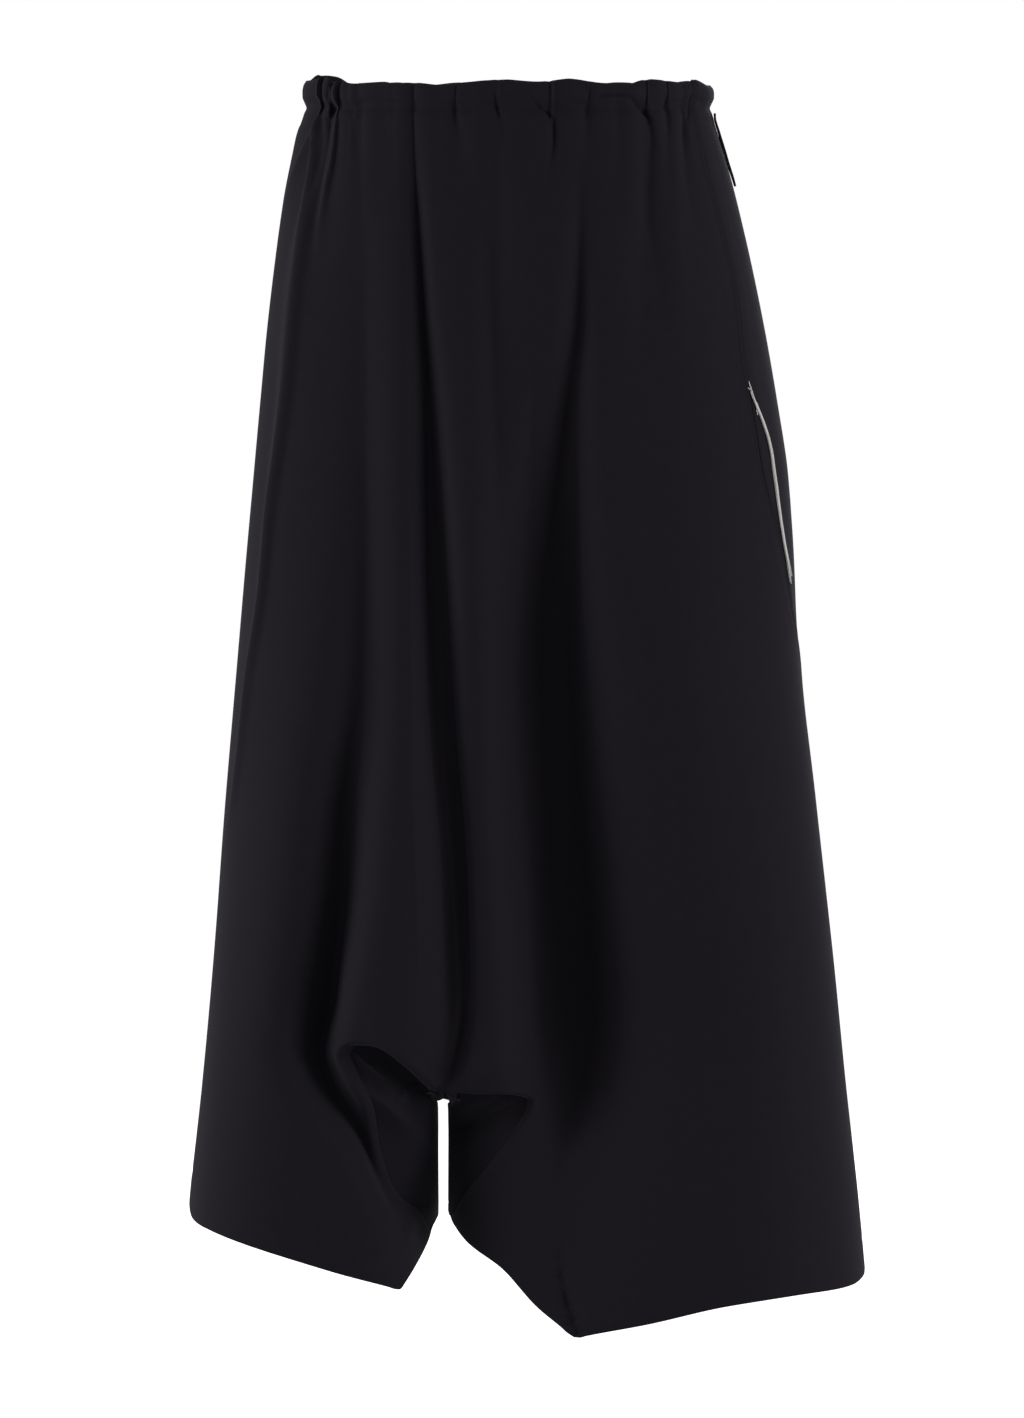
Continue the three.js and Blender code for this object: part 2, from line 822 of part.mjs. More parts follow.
function acrossSeam(i) {
  return [
    beside(longFront, i, facingWidth),
    beside(longFront, i, 0),
    beside(longBack, i, facingWidth),
  ];
}

function between(above, below, share) {
  return above.map(({ point, normal }, k) => ({
    point: blend(point, below[k].point, share),
    normal: blend(normal, below[k].normal, share),
  }));
}

// The pocket facing lies inside the panels, behind the pocket mouth.
const openRows = rows.map((_, i) => i).filter(pocketRow);
const firstOpen = openRows[0];
const lastOpen = openRows[openRows.length - 1];
const facingRows = [
  between(acrossSeam(firstOpen - 2), acrossSeam(firstOpen - 1), 0.75),
  ...[firstOpen - 1, ...openRows, lastOpen + 1].map(acrossSeam),
  between(acrossSeam(lastOpen + 1), acrossSeam(lastOpen + 2), 0.25),
];
const facingInset = wall / 2 + facingClear + facingWall / 2;
const facingGrid = facingRows.map((row) => (
  row.map(({ point, normal }) => moved(point, normal, -facingInset))
));
const facingNormals = facingRows.map((row) => row.map(({ normal }) => normal));
add('pocket_facing', clothGeometry(facingGrid, facingNormals, facingWall, -1), black, 0.9);

// The tie end hangs behind the side seam from just under the waistband, and stands a little off
// the cloth.
const tieRows = named(['z', 'off', 'width'], [
  [-9.5, 2.15, 1],
  [-13, 2.2, 1],
  [-18, 2.3, 1],
  [-26, 2.4, 1],
  [-34, 2.4, 1],
  [-42, 2.5, 1],
  [-50, 2.8, 1],
  [-55, 3, 0.96],
  [-58, 3, 0.8],
  [-60, 2.9, 0.45],
]);
const tieGrid = [];
const tieNormals = [];
tieRows.forEach(({ z, off, width }) => {
  const t = Math.max(0, (-z - waistDrop) / (legs.long.sideZ(0) - legs.long.sideZ(1)));
  const at = (u) => backPoint(panels.back_long_leg, t, u);
  const centre = at(tiePlace);
  const along = unit([...minus(at(tiePlace + 0.05), at(tiePlace - 0.05)).slice(0, 2), 0]);
  const out = [along[1], -along[0], 0];
  const middle = moved([centre[0], centre[1], tilted(centre[1], z)], out, off);
  tieGrid.push([-1, 0, 1].map((side) => moved(middle, along, (side * width * tieWidth) / 2)));
  tieNormals.push([out, out, out]);
});
add('waist_tie', clothGeometry(tieGrid, tieNormals, tieWall, -1), black, 0.85);

// The tail of basting threads hangs from a knot at the pocket's top. It swings behind the pocket
// mouth by away, measured over the back panel from the seam.
const tailSwing = curves(['z', 'away'], [
  [-198, 0],
  [-206, 0.6],
  [-211, 1.6],
  [-218, 4],
  [-229, 8.3],
  [-242, 12.2],
  [-253, 13.6],
  [-267, 12.8],
  [-287, 9],
  [-301, 5],
  [-315, 3.4],
  [-327, 3.6],
  [-344, 1.2],
]).away;

const wasm = await Module();
wasm.setup();
const { Manifold, Mesh } = wasm;

function solidOf(geometry) {
  const vertProperties = Float32Array.from(geometry.attributes.position.array);
  const count = vertProperties.length / 3;
  const order = geometry.index ? geometry.index.array : Array.from({ length: count }, (_, i) => i);
  const mesh = new Mesh({ numProp: 3, vertProperties, triVerts: Uint32Array.from(order) });
  mesh.merge();
  return new Manifold(mesh);
}

function geometryOf(solid) {
  const mesh = solid.getMesh();
  return meshGeometry(Array.from(mesh.vertProperties), Array.from(mesh.triVerts));
}

function backAt(z, away) {
  let i = 0;
  while (grids[longBack].grid[i + 1][0][2] > z) i += 1;
  const [above, below] = [beside(longBack, i, away), beside(longBack, i + 1, away)];
  const share = (above.point[2] - z) / (above.point[2] - below.point[2]);
  return {
    point: blend(above.point, below.point, share),
    normal: unit(blend(above.normal, below.normal, share)),
  };
}

function threadPoint(z, across, off) {
  const { point, normal } = backAt(z, tailSwing(z));
  const along = unit([-normal[1], normal[0], 0]);
  return moved(moved(point, normal, off), along, across);
}

const threadStops = 14;
const strands = named(['across', 'layer', 'short'], [
  [-1.5, 0, 4],
  [-0.5, 0, 1],
  [0.5, 0, 6],
  [1.5, 0, 0],
  [-1.5, 1, 2],
  [-0.5, 1, 7],
  [0.5, 1, 3],
  [1.5, 1, 5],
]);
const threadTop = pocketTop - 3.5;
const half = threadWidth / 2;
const square = new THREE.Shape([
  new THREE.Vector2(-half, -half),
  new THREE.Vector2(half, -half),
  new THREE.Vector2(half, half),
  new THREE.Vector2(-half, half),
]);
const knotCentre = threadPoint(threadTop + threadKnot[2] / 2, 0, wall / 2 + 0.45 + threadKnot[1]);
const knot = new THREE.SphereGeometry(1, 12, 8);
const knotNormal = backAt(threadTop, 0).normal;
knot.scale(threadKnot[0], threadKnot[1], threadKnot[2]);
knot.rotateZ(Math.atan2(knotNormal[1], knotNormal[0]) - Math.PI / 2);
knot.translate(...knotCentre);
const tail = [solidOf(knot)];
strands.forEach(({ across, layer, short }, k) => {
  const reach = threadLength - short;
  const points = Array.from({ length: threadStops + 1 }, (_, i) => {
    const share = i / threadStops;
    const spread = mix(0.9, 1.35, share) + 0.12 * Math.sin(k * 2 + share * 5) * share;
    const off = wall / 2 + 0.95 + 0.95 * layer + 0.25 * Math.sin(share * 7 + k) ** 2 * share;
    return new THREE.Vector3(...threadPoint(threadTop - reach * share, across * spread, off));
  });
  const extrudePath = new THREE.CatmullRomCurve3(points);
  tail.push(solidOf(new THREE.ExtrudeGeometry(square, { steps: 16, extrudePath })));
});
add('thread_tail', geometryOf(Manifold.union(tail)), threadWhite, 0.8);

export default group;
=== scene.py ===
import math
from types import SimpleNamespace

import bpy
import numpy as np
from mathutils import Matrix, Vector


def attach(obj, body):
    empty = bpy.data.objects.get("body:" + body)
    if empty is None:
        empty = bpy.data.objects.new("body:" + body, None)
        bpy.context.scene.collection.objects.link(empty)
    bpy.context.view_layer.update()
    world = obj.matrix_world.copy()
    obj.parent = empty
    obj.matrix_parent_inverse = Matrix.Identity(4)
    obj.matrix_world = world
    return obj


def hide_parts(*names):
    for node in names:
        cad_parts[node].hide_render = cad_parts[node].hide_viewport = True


# Harem pants in black wool gabardine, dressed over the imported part.
# Lengths in the tables are millimetres, as in the part: +Z up, -Y the front, the waist at 0.

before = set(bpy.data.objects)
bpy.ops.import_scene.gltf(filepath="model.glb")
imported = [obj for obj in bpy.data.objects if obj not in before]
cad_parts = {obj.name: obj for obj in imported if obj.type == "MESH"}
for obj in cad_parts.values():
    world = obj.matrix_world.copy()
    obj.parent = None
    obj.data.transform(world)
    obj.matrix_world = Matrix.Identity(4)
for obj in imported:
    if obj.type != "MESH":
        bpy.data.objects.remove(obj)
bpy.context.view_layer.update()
metre = 0.001


def mix(a, b, share):
    return a + (b - a) * share


def ease(start, stop, x):
    share = np.clip((x - start) / (stop - start), 0, 1)
    return share * share * (3 - 2 * share)


def smoothCurve(places, values):
    # a monotone cubic through the points, level past both ends
    at = np.array(places, float)
    value = np.array(values, float)
    if at[0] > at[-1]:
        at = at[::-1]
        value = value[::-1]
    slope = np.diff(value) / np.diff(at)
    product = slope[:-1] * slope[1:]
    total = np.where(product > 0, slope[:-1] + slope[1:], 1)
    middle = np.where(product > 0, 2 * product / total, 0)
    tangent = np.concatenate([slope[:1], middle, slope[-1:]])

    def curve(x):
        place = np.asarray(x, float)
        i = np.clip(np.searchsorted(at, place, side="right") - 1, 0, len(at) - 2)
        h = at[i + 1] - at[i]
        s = np.clip((place - at[i]) / h, 0, 1)
        s2 = s * s
        s3 = s2 * s
        start = (2 * s3 - 3 * s2 + 1) * value[i] + (s3 - 2 * s2 + s) * h * tangent[i]
        return start + (3 * s2 - 2 * s3) * value[i + 1] + (s3 - s2) * h * tangent[i + 1]

    return curve


def curves(columns, rows):
    # each column of a table becomes a smooth curve over the first one
    at = [row[0] for row in rows]
    names = columns.split()
    return SimpleNamespace(**{
        name: smoothCurve(at, [row[k] for row in rows]) for k, name in enumerate(names)
    })


# The photo's camera: straight in front of the garment, level with its middle.
photo = {
    "distance": 3.8,
    "across": 0.0028,
    "height": -0.426,
    "seenHeight": 0.9926,  # of the plane through the waist, from the image's top to its bottom
}


def makeCamera():
    data = bpy.data.cameras.new("photoCamera")
    data.sensor_width = 36
    data.lens = data.sensor_width * photo["distance"] / photo["seenHeight"]
    data.clip_start = 0.05
    data.clip_end = 50
    data.dof.use_dof = False
    camera = bpy.data.objects.new("photoCamera", data)
    camera.location = (photo["across"], -photo["distance"], photo["height"])
    camera.rotation_euler = (math.pi / 2, 0, 0)
    bpy.context.scene.collection.objects.link(camera)
    bpy.context.scene.camera = camera
    return camera


makeCamera()
print("camera stands")

# Materials


def linear(code):
    # an sRGB hex code as linear light
    parts = [int(code[i:i + 2], 16) / 255 for i in (1, 3, 5)]
    light = [v / 12.92 if v <= 0.04045 else ((v + 0.055) / 1.055) ** 2.4 for v in parts]
    return (*light, 1)


def node(tree, kind, settings=None, inputs=None, links=None):
    made = tree.nodes.new(kind)
    for name, value in (settings or {}).items():
        setattr(made, name, value)
    for name, value in (inputs or {}).items():
        made.inputs[name].default_value = value
    for name, source in (links or {}).items():
        tree.links.new(source, made.inputs[name])
    return made


def newMaterial(name):
    material = bpy.data.materials.new(name)
    material.use_nodes = True
    material.node_tree.nodes.clear()
    return material, material.node_tree


# Worsted wool gabardine: tightly spun yarn in a steep twill, sheared and pressed flat. It takes
# light like a fine matt felt, with a faint sheen where it turns away.
wool = {
    "colour": "#1a161e",
    "dusty": "#1f1c23",  # lint and pressing leave the nap a little lighter in places
    "roughness": 0.8,
    "ior": 1.5,
    "specular": 0.16,
    "sheen": 0.13,
    "sheenRoughness": 0.45,
    "sheenTint": "#b9b3c6",
    "twillPitch": 1.5,  # mm; the real 0.5 mm would be finer than a pixel of the photo
    "twillTurn": 27,  # degrees from the warp, which runs down the garment
    "twillDepth": 0.03,
    "slubSize": 9,
    "slubDepth": 0.12,
}


def woolMaterial():
    material, tree = newMaterial("blackWoolGabardine")
    place = node(tree, "ShaderNodeUVMap", {"uv_map": "cloth"})
    turned = node(
        tree,
        "ShaderNodeMapping",
        inputs={"Rotation": (0, 0, math.radians(wool["twillTurn"]))},
        links={"Vector": place.outputs["UV"]},
    )
    perMetre = 1 / (wool["twillPitch"] * metre)
    twill = node(
        tree,
        "ShaderNodeTexWave",
        {"wave_type": "BANDS", "bands_direction": "X"},
        # a wave texture repeats every 2 pi / 20 of its scaled length
        {"Scale": perMetre * math.pi / 10, "Distortion": 0.6, "Detail": 1},
        {"Vector": turned.outputs["Vector"]},
    )
    slub = node(
        tree,
        "ShaderNodeTexNoise",
        inputs={"Scale": 1 / (wool["slubSize"] * metre), "Detail": 6, "Roughness": 0.6},
        links={"Vector": place.outputs["UV"]},
    )
    colour = node(
        tree,
        "ShaderNodeMix",
        {"data_type": "RGBA"},
        links={0: slub.outputs["Fac"]},
    )
    colour.inputs[6].default_value = linear(wool["colour"])
    colour.inputs[7].default_value = linear(wool["dusty"])
    uneven = node(
        tree,
        "ShaderNodeBump",
        inputs={"Strength": wool["slubDepth"], "Distance": 0.4 * metre},
        links={"Height": slub.outputs["Fac"]},
    )
    ribs = node(
        tree,
        "ShaderNodeBump",
        inputs={"Strength": wool["twillDepth"], "Distance": 0.3 * metre},
        links={"Height": twill.outputs["Fac"], "Normal": uneven.outputs["Normal"]},
    )
    cloth = node(
        tree,
        "ShaderNodeBsdfPrincipled",
        inputs={
            "Roughness": wool["roughness"],
            "IOR": wool["ior"],
            "Specular IOR Level": wool["specular"],
            "Sheen Weight": wool["sheen"],
            "Sheen Roughness": wool["sheenRoughness"],
            "Sheen Tint": linear(wool["sheenTint"]),
        },
        links={"Base Color": colour.outputs[2], "Normal": ribs.outputs["Normal"]},
    )
    node(tree, "ShaderNodeOutputMaterial", links={"Surface": cloth.outputs["BSDF"]})
    return material


# Woven cotton twill tape, dyed black: duller than the wool and ribbed across.
tape = {
    "colour": "#1a191d",
    "roughness": 0.85,
    "ior": 1.5,
    "specular": 0.3,
    "ribPitch": 1.0,  # mm
    "ribDepth": 0.25,
}


def tapeMaterial():
    material, tree = newMaterial("blackCottonTape")
    place = node(tree, "ShaderNodeUVMap", {"uv_map": "cloth"})
    ribs = node(
        tree,
        "ShaderNodeTexWave",
        {"wave_type": "BANDS", "bands_direction": "Y"},
        {"Scale": math.pi / 10 / (tape["ribPitch"] * metre), "Distortion": 0.4},
        {"Vector": place.outputs["UV"]},
    )
    raised = node(
        tree,
        "ShaderNodeBump",
        inputs={"Strength": tape["ribDepth"], "Distance": 0.2 * metre},
        links={"Height": ribs.outputs["Fac"]},
    )
    cloth = node(
        tree,
        "ShaderNodeBsdfPrincipled",
        inputs={
            "Base Color": linear(tape["colour"]),
            "Roughness": tape["roughness"],
            "IOR": tape["ior"],
            "Specular IOR Level": tape["specular"],
        },
        links={"Normal": raised.outputs["Normal"]},
    )
    node(tree, "ShaderNodeOutputMaterial", links={"Surface": cloth.outputs["BSDF"]})
    return material


# Soft-twisted cotton basting thread, bleached: matt white, brighter than anything round it.
thread = {
    "colour": "#efeeea",
    "roughness": 0.75,
    "ior": 1.5,
    "specular": 0.4,
    "ply": 0.9,  # mm from one turn of the twist to the next
    "plyDepth": 0.5,
}


def threadMaterial():
    material, tree = newMaterial("whiteBastingCotton")
    place = node(tree, "ShaderNodeTexCoord")
    ply = node(
        tree,
        "ShaderNodeTexWave",
        {"wave_type": "BANDS", "bands_direction": "DIAGONAL"},
        {"Scale": math.pi / 10 / (thread["ply"] * metre), "Distortion": 1},
        {"Vector": place.outputs["Object"]},
    )
    raised = node(
        tree,
        "ShaderNodeBump",
        inputs={"Strength": thread["plyDepth"], "Distance": 0.1 * metre},
        links={"Height": ply.outputs["Fac"]},
    )
    cotton = node(
        tree,
        "ShaderNodeBsdfPrincipled",
        inputs={
            "Base Color": linear(thread["colour"]),
            "Roughness": thread["roughness"],
            "IOR": thread["ior"],
            "Specular IOR Level": thread["specular"],
        },
        links={"Normal": raised.outputs["Normal"]},
    )
    node(tree, "ShaderNodeOutputMaterial", links={"Surface": cotton.outputs["BSDF"]})
    return material


materials = {
    "wool": woolMaterial(),
    "tape": tapeMaterial(),
    "thread": threadMaterial(),
}
print("materials made")

# The garment's form, as in the part, but with deeper main folds


outline = curves("z left right front back square", [
    [0, -142, 142.5, 97, 99, 0.05],
    [-12.5, -143, 143.5, 98, 100, 0.05],
    [-22, -146.8, 146, 99.3, 102, 0.06],
    [-38, -150.3, 151, 101.5, 105.5, 0.08],
    [-70, -156.5, 159.6, 106, 112, 0.12],
    [-154, -167, 178.4, 114, 122, 0.18],
    [-210, -172.3, 188.5, 117.5, 125, 0.2],
    [-266, -177.5, 196.8, 121, 128, 0.22],
    [-320, -182.5, 200.5, 124, 129.5, 0.235],
    [-378, -187.5, 202.5, 127, 131, 0.25],
    [-490, -197, 214.5, 131, 132, 0.27],
    [-602, -205.5, 227, 133, 131, 0.28],
    [-686, -213, 235.5, 132, 128, 0.28],
    [-770, -222, 245, 130, 126, 0.28],
    [-860, -226, 253, 128, 124, 0.28],
])

# Main folds: where each one runs, how deep it is and how far it spreads to each side.
foldColumns = "z across deep left right"
riseFold = curves(foldColumns, [
    [-12, -65, 2, 5, 5],
    [-50, -64, 4, 6, 6],
    [-81, -62.5, 7, 7, 6],
    [-150, -59, 12, 8, 7],
    [-216, -55, 16, 10, 9],
    [-290, -52.5, 20, 12, 11],
    [-420, -47.5, 23, 17, 15],
    [-555, -37, 26, 24, 15],
    [-623, -33.5, 25, 28, 17],
    [-660, -39, 24, 24, 22],
    [-690, -46, 26, 20, 24],
    [-705, -46, 10, 18, 24],
    [-720, -46, 0, 18, 24],
])
wideFold = curves(foldColumns, [
    [-35, 47, 0, 7, 5],
    [-81, 50, 4, 8, 6],
    [-150, 50, 10, 10, 6],
    [-216, 45, 16, 18, 9],
    [-290, 40, 24, 30, 15],
    [-352, 37, 33, 42, 24],
    [-420, 36, 44, 50, 36],
    [-488, 36, 52, 48, 46],
    [-555, 37, 58, 43, 52],
    [-623, 38, 59, 38, 57],
    [-665, 37, 52, 35, 60],
    [-710, 32, 36, 32, 60],
    [-760, 30, 16, 30, 56],
    [-800, 30, 4, 30, 50],
])
drapeFold = curves(foldColumns, [
    [-60, -101, 0, 10, 10],
    [-100, -99, 2, 12, 12],
    [-216, -98.5, 5, 14, 14],
    [-290, -98.5, 9, 15, 17],
    [-352, -100.5, 14, 16, 21],
    [-420, -106, 20, 16, 25],
    [-488, -114.5, 27, 16, 21],
    [-555, -119, 33, 17, 17],
    [-623, -127.5, 37, 18, 13],
    [-657, -130, 36, 19, 11],
    [-675, -124, 33, 18, 13],
    [-709, -95, 27, 16, 13],
    [-748, -68, 21, 13, 10],
    [-764, -57, 13, 11, 8],
    [-774, -51, 5, 10, 8],
])
middleFold = curves(foldColumns, [
    [-30, -14, 0, 12, 11],
    [-70, -12, 3.5, 13, 12],
    [-110, -11, 6, 12, 12],
    [-150, -10.5, 7, 11, 13],
    [-216, -9, 6.5, 11, 15],
    [-290, -6, 5, 12, 18],
    [-352, -3, 3, 14, 20],
    [-420, 0, 0, 15, 20],
])
cornerRidge = curves(foldColumns, [
    [-60, -139, 0, 6, 8],
    [-100, -141.5, -3, 8, 12],
    [-216, -149, -4.5, 9, 16],
    [-290, -158, -4.5, 8, 16],
    [-352, -167.5, -4, 7, 16],
    [-420, -177, -3, 6, 14],
    [-488, -189, -1.5, 5, 12],
    [-555, -196, 0, 5, 10],
])
backRiseFold = curves(foldColumns, [
    [-12, -8, 2, 6, 6],
    [-150, -12, 7, 9, 9],
    [-290, -18, 12, 13, 13],
    [-420, -26, 18, 18, 17],
    [-555, -36, 24, 24, 22],
    [-660, -44, 26, 28, 26],
    [-690, -46, 14, 28, 26],
    [-715, -46, 0, 28, 26],
])
backLongFold = curves(foldColumns, [
    [-40, 62, 0, 8, 8],
    [-120, 62, 4, 8, 8],
    [-216, 64, 8, 14, 16],
    [-352, 66, 17, 20, 28],
    [-488, 72, 24, 26, 38],
    [-600, 76, 23, 30, 42],
    [-700, 78, 13, 34, 42],
    [-790, 78, 3, 34, 42],
])
backShortFold = curves(foldColumns, [
    [-40, -84, 0, 8, 8],
    [-120, -85, 4, 9, 9],
    [-216, -88, 7, 12, 12],
    [-352, -96, 12, 16, 16],
    [-488, -106, 19, 20, 18],
    [-600, -114, 20, 22, 20],
    [-700, -122, 11, 24, 22],
    [-770, -124, 3, 24, 22],
])
backSideFold = curves(foldColumns, [
    [-120, 142, 0, 10, 10],
    [-290, 150, 6, 16, 16],
    [-488, 160, 8, 22, 22],
    [-700, 172, 4, 24, 24],
    [-780, 176, 0, 24, 24],
])
folds = {
    "front": [riseFold, wideFold, drapeFold, middleFold, cornerRidge],
    "back": [backRiseFold, backLongFold, backShortFold, backSideFold],
}

form = {
    "waistDrop": 12.5,
    "waistTilt": 0.1,
    "tiltFade": 260,
    "gatherFade": 150,
    "gatherWide": 0.25,  # of the space between two gathers
    "gatherDeep": 0.55,  # the wool is pressed a little flatter than the part's wall
    "crotch": -690,
    "innerPlace": 0.72,
    "pocketTop": -198,
    "pocketBottom": -338,
}


# Gathers under the waistband, one row each, from the side seam to the rise seam.
def gathers(rows):
    return [SimpleNamespace(across=row[0], deep=row[1], reach=row[2]) for row in rows]


frontShortGathers = gathers([
    [-130, 4.5, 130],
    [-118, 4.5, 120],
    [-101, 4, 90],
    [-84, 2.5, 60],
])
frontLongGathers = gathers([
    [122, 4, 110],
    [110, 2.5, 60],
    [95, 5, 180],
    [75, 2.5, 60],
    [54, 4, 60],
    [31, 4.5, 85],
    [-8, 4, 130],
    [-36, 4, 90],
])
backShortGathers = gathers([
    [-133, 4, 90],
    [-112, 3, 120],
    [-84, 4.5, 150],
    [-58, 3, 70],
    [-31, 4.5, 110],
])
backLongGathers = gathers([
    [142, 3.5, 90],
    [120, 4.5, 120],
    [92, 3, 80],
    [62, 4.5, 140],
    [38, 3, 90],
    [14, 4, 110],
])


def noTurn(z):
    return np.zeros_like(np.asarray(z, float))


# The side seam, the front panel's inner edge and the hems of the two legs.
shortLeg = SimpleNamespace(
    across=-1,
    side=outline.left,
    inner=-49.6,
    frontDepth=127,
    backDepth=121,
    sideTurn=noTurn,
    sideZ=curves("t z", [
        [0, -12.5],
        [0.5, -310],
        [1, -602],
        [1.6, -637],
        [1.9, -655],
        [2, -666],
        [3, -770],
    ]).z,
    end=curves("t x z", [
        [1, -46, -690],
        [1.25, -56, -682],
        [1.5, -70, -668],
        [1.7, -86, -658.5],
        [1.88, -105, -656],
        [2, -112, -662],
        [2.12, -104, -676],
        [2.25, -93, -692],
        [2.5, -75, -727],
        [2.75, -60, -757],
        [3, -50.6, -778],
    ]),
    hem=curves("x z", [
        [-222, -771],
        [-217, -776.5],
        [-203, -781],
        [-167, -792],
        [-118, -807],
        [-82, -818],
        [-76.5, -820.2],
        [-73.5, -820.6],
        [-71, -817.5],
        [-64, -807.5],
        [-55.5, -794],
        [-50.6, -778],
    ]).z,
    backHem=curves("u z", [[0, -770], [0.35, -782], [0.7, -780], [1, -778]]).z,
)
longLeg = SimpleNamespace(
    across=1,
    side=outline.right,
    inner=-41.4,
    frontDepth=128,
    backDepth=122,
    sideTurn=curves("z turn", [
        [-12, 0.46],
        [-54, 0.53],
        [-126, 0.54],
        [-189, 0.61],
        [-255, 0.61],
        [-281, 0.57],
        [-303, 0.5],
        [-328, 0.43],
        [-357, 0.33],
        [-380, 0.18],
        [-410, 0],
        [-600, -0.12],
        [-820, -0.15],
    ]).turn,
    sideZ=curves("t z", [
        [0, -12.5],
        [0.5, -316],
        [1, -622],
        [2, -704],
        [3, -817],
    ]).z,
    end=curves("t x z", [
        [1, -46, -690],
        [1.5, -26, -690],
        [2, 7.5, -695],
        [2.3, -4, -716],
        [2.6, -18, -738],
        [2.8, -31, -759],
        [3, -40.3, -778],
    ]),
    hem=curves("x z", [
        [-40.3, -778],
        [-28, -791],
        [-4, -807],
        [20, -832],
        [38, -846.5],
        [44, -851.5],
        [47.5, -852],
        [54, -850.3],
        [93, -842.5],
        [150, -830],
        [201, -823.5],
        [237, -821],
        [250, -817],
    ]).z,
    backHem=curves("u z", [[0, -817], [0.35, -806], [0.7, -786], [1, -778]]).z,
)

# The back rise seam, and how far round its leg a back panel reaches above the crotch.
backRise = curves("t x y z", [
    [0, -8, 98, -12.5],
    [0.3, -17, 113, -260],
    [0.62, -32, 106, -510],
    [0.74, -41, 100, -625],
    [0.8, -44, 88, -668],
    [0.85, -46, 62, -688],
    [0.9, -46, 22, -694],
    [0.95, -46, -40, -694],
    [1, -46, -105, -690],
])
backWrap = curves("t turn", [
    [0.3, 1.75],
    [0.62, 2.25],
    [0.8, 2.75],
    [0.9, 3.03],
    [1, math.pi],
]).turn
innerLevel = curves("t z", [
    [0.8, -600],
    [0.85, -640],
    [0.9, -672],
    [0.95, -690],
    [1, -704],
    [1.5, -713],
    [2, -725],
    [2.5, -750],
    [3, -777],
]).z

panels = {
    "front_short_leg": SimpleNamespace(
        leg=shortLeg, facing=-1, partner=None, gathers=frontShortGathers,
        mainFold=drapeFold, mainGather=3,
    ),
    "front_long_leg": SimpleNamespace(
        leg=longLeg, facing=-1, partner=None, gathers=frontLongGathers,
        mainFold=wideFold, mainGather=5,
    ),
    "back_short_leg": SimpleNamespace(
        leg=shortLeg, facing=1, partner="front_short_leg", gathers=backShortGathers,
        mainFold=backShortFold, mainGather=3,
    ),
    "back_long_leg": SimpleNamespace(
        leg=longLeg, facing=1, partner="front_long_leg", gathers=backLongGathers,
        mainFold=backLongFold, mainGather=4,
    ),
}


def sectionPoint(section, angle, facing):
    # a section is an ellipse with its corners pushed out by square
    c = np.cos(angle)
    s = np.sin(angle) * facing
    depth = np.where(s < 0, section.front, section.back)
    x = section.centre + section.half * c * (1 + section.square * s * s)
    return x, depth * s * (1 + section.square * c * c)


def angleAt(section, x):
    low = np.zeros(np.broadcast(section.half, x).shape)
    high = low + math.pi
    turned = np.sign(section.half)
    for _ in range(30):
        middle = (low + high) / 2
        past = (sectionPoint(section, middle, 1)[0] - x) * turned > 0
        low = np.where(past, middle, low)
        high = np.where(past, high, middle)
    return (low + high) / 2


def wholeSection(leg, z):
    centre = (outline.left(z) + outline.right(z)) / 2
    return SimpleNamespace(
        centre=centre, half=leg.side(z) - centre, front=outline.front(z),
        back=outline.back(z), square=outline.square(z),
    )


def legSection(leg, z):
    centre = (leg.side(z) + leg.inner) / 2
    return SimpleNamespace(
        centre=centre, half=leg.side(z) - centre, front=leg.frontDepth,
        back=leg.backDepth, square=0.2,
    )


def foldDepth(group, x, z):
    deep = 0
    for fold in group:
        away = x - fold.across(z)
        width = np.where(away < 0, fold.left(z), fold.right(z))
        deep = deep + fold.deep(z) * np.exp(-(np.abs(away / width) ** 1.7))
    return deep


def gatherDepth(panel, u, z):
    spaces = len(panel.gathers) + 1
    below = np.maximum(0, -form["waistDrop"] - z)
    deep = 0
    for i, gather in enumerate(panel.gathers):
        away = np.abs(u * spaces - (i + 1))
        left = np.clip(1 - below / gather.reach, 0, 1)
        deep = deep + gather.deep * left ** 1.3 * np.exp(-((away / form["gatherWide"]) ** 1.6))
    return deep * form["gatherDeep"]


def columnKnots(panel, section, z, endX, freed):
    # the angles of the gathers' columns: the gathers at the waist, the main fold lower down
    spaces = len(panel.gathers) + 1
    main = panel.mainGather
    start = -panel.facing * panel.leg.sideTurn(z)
    end = angleAt(section, endX)
    even = mix(start, end, main / spaces)
    fold = mix(angleAt(section, panel.mainFold.across(z)), even, freed)
    low = ease(0, form["gatherFade"], -form["waistDrop"] - z)
    knots = [start + 0 * end]
    for g in range(1, spaces):
        if g <= main:
            below = mix(start, fold, g / main)
        else:
            below = mix(fold, end, (g - main) / (spaces - main))
        knots.append(mix(angleAt(section, panel.gathers[g - 1].across), below, low))
    knots.append(end)
    return np.array(knots)


def columnAngle(knots, place):
    spaces = len(knots) - 1
    g = np.clip(np.floor(place * spaces).astype(int), 0, spaces - 1)
    low = np.take_along_axis(knots, g[None], 0)[0]
    high = np.take_along_axis(knots, g[None] + 1, 0)[0]
    return mix(low, high, place * spaces - g)


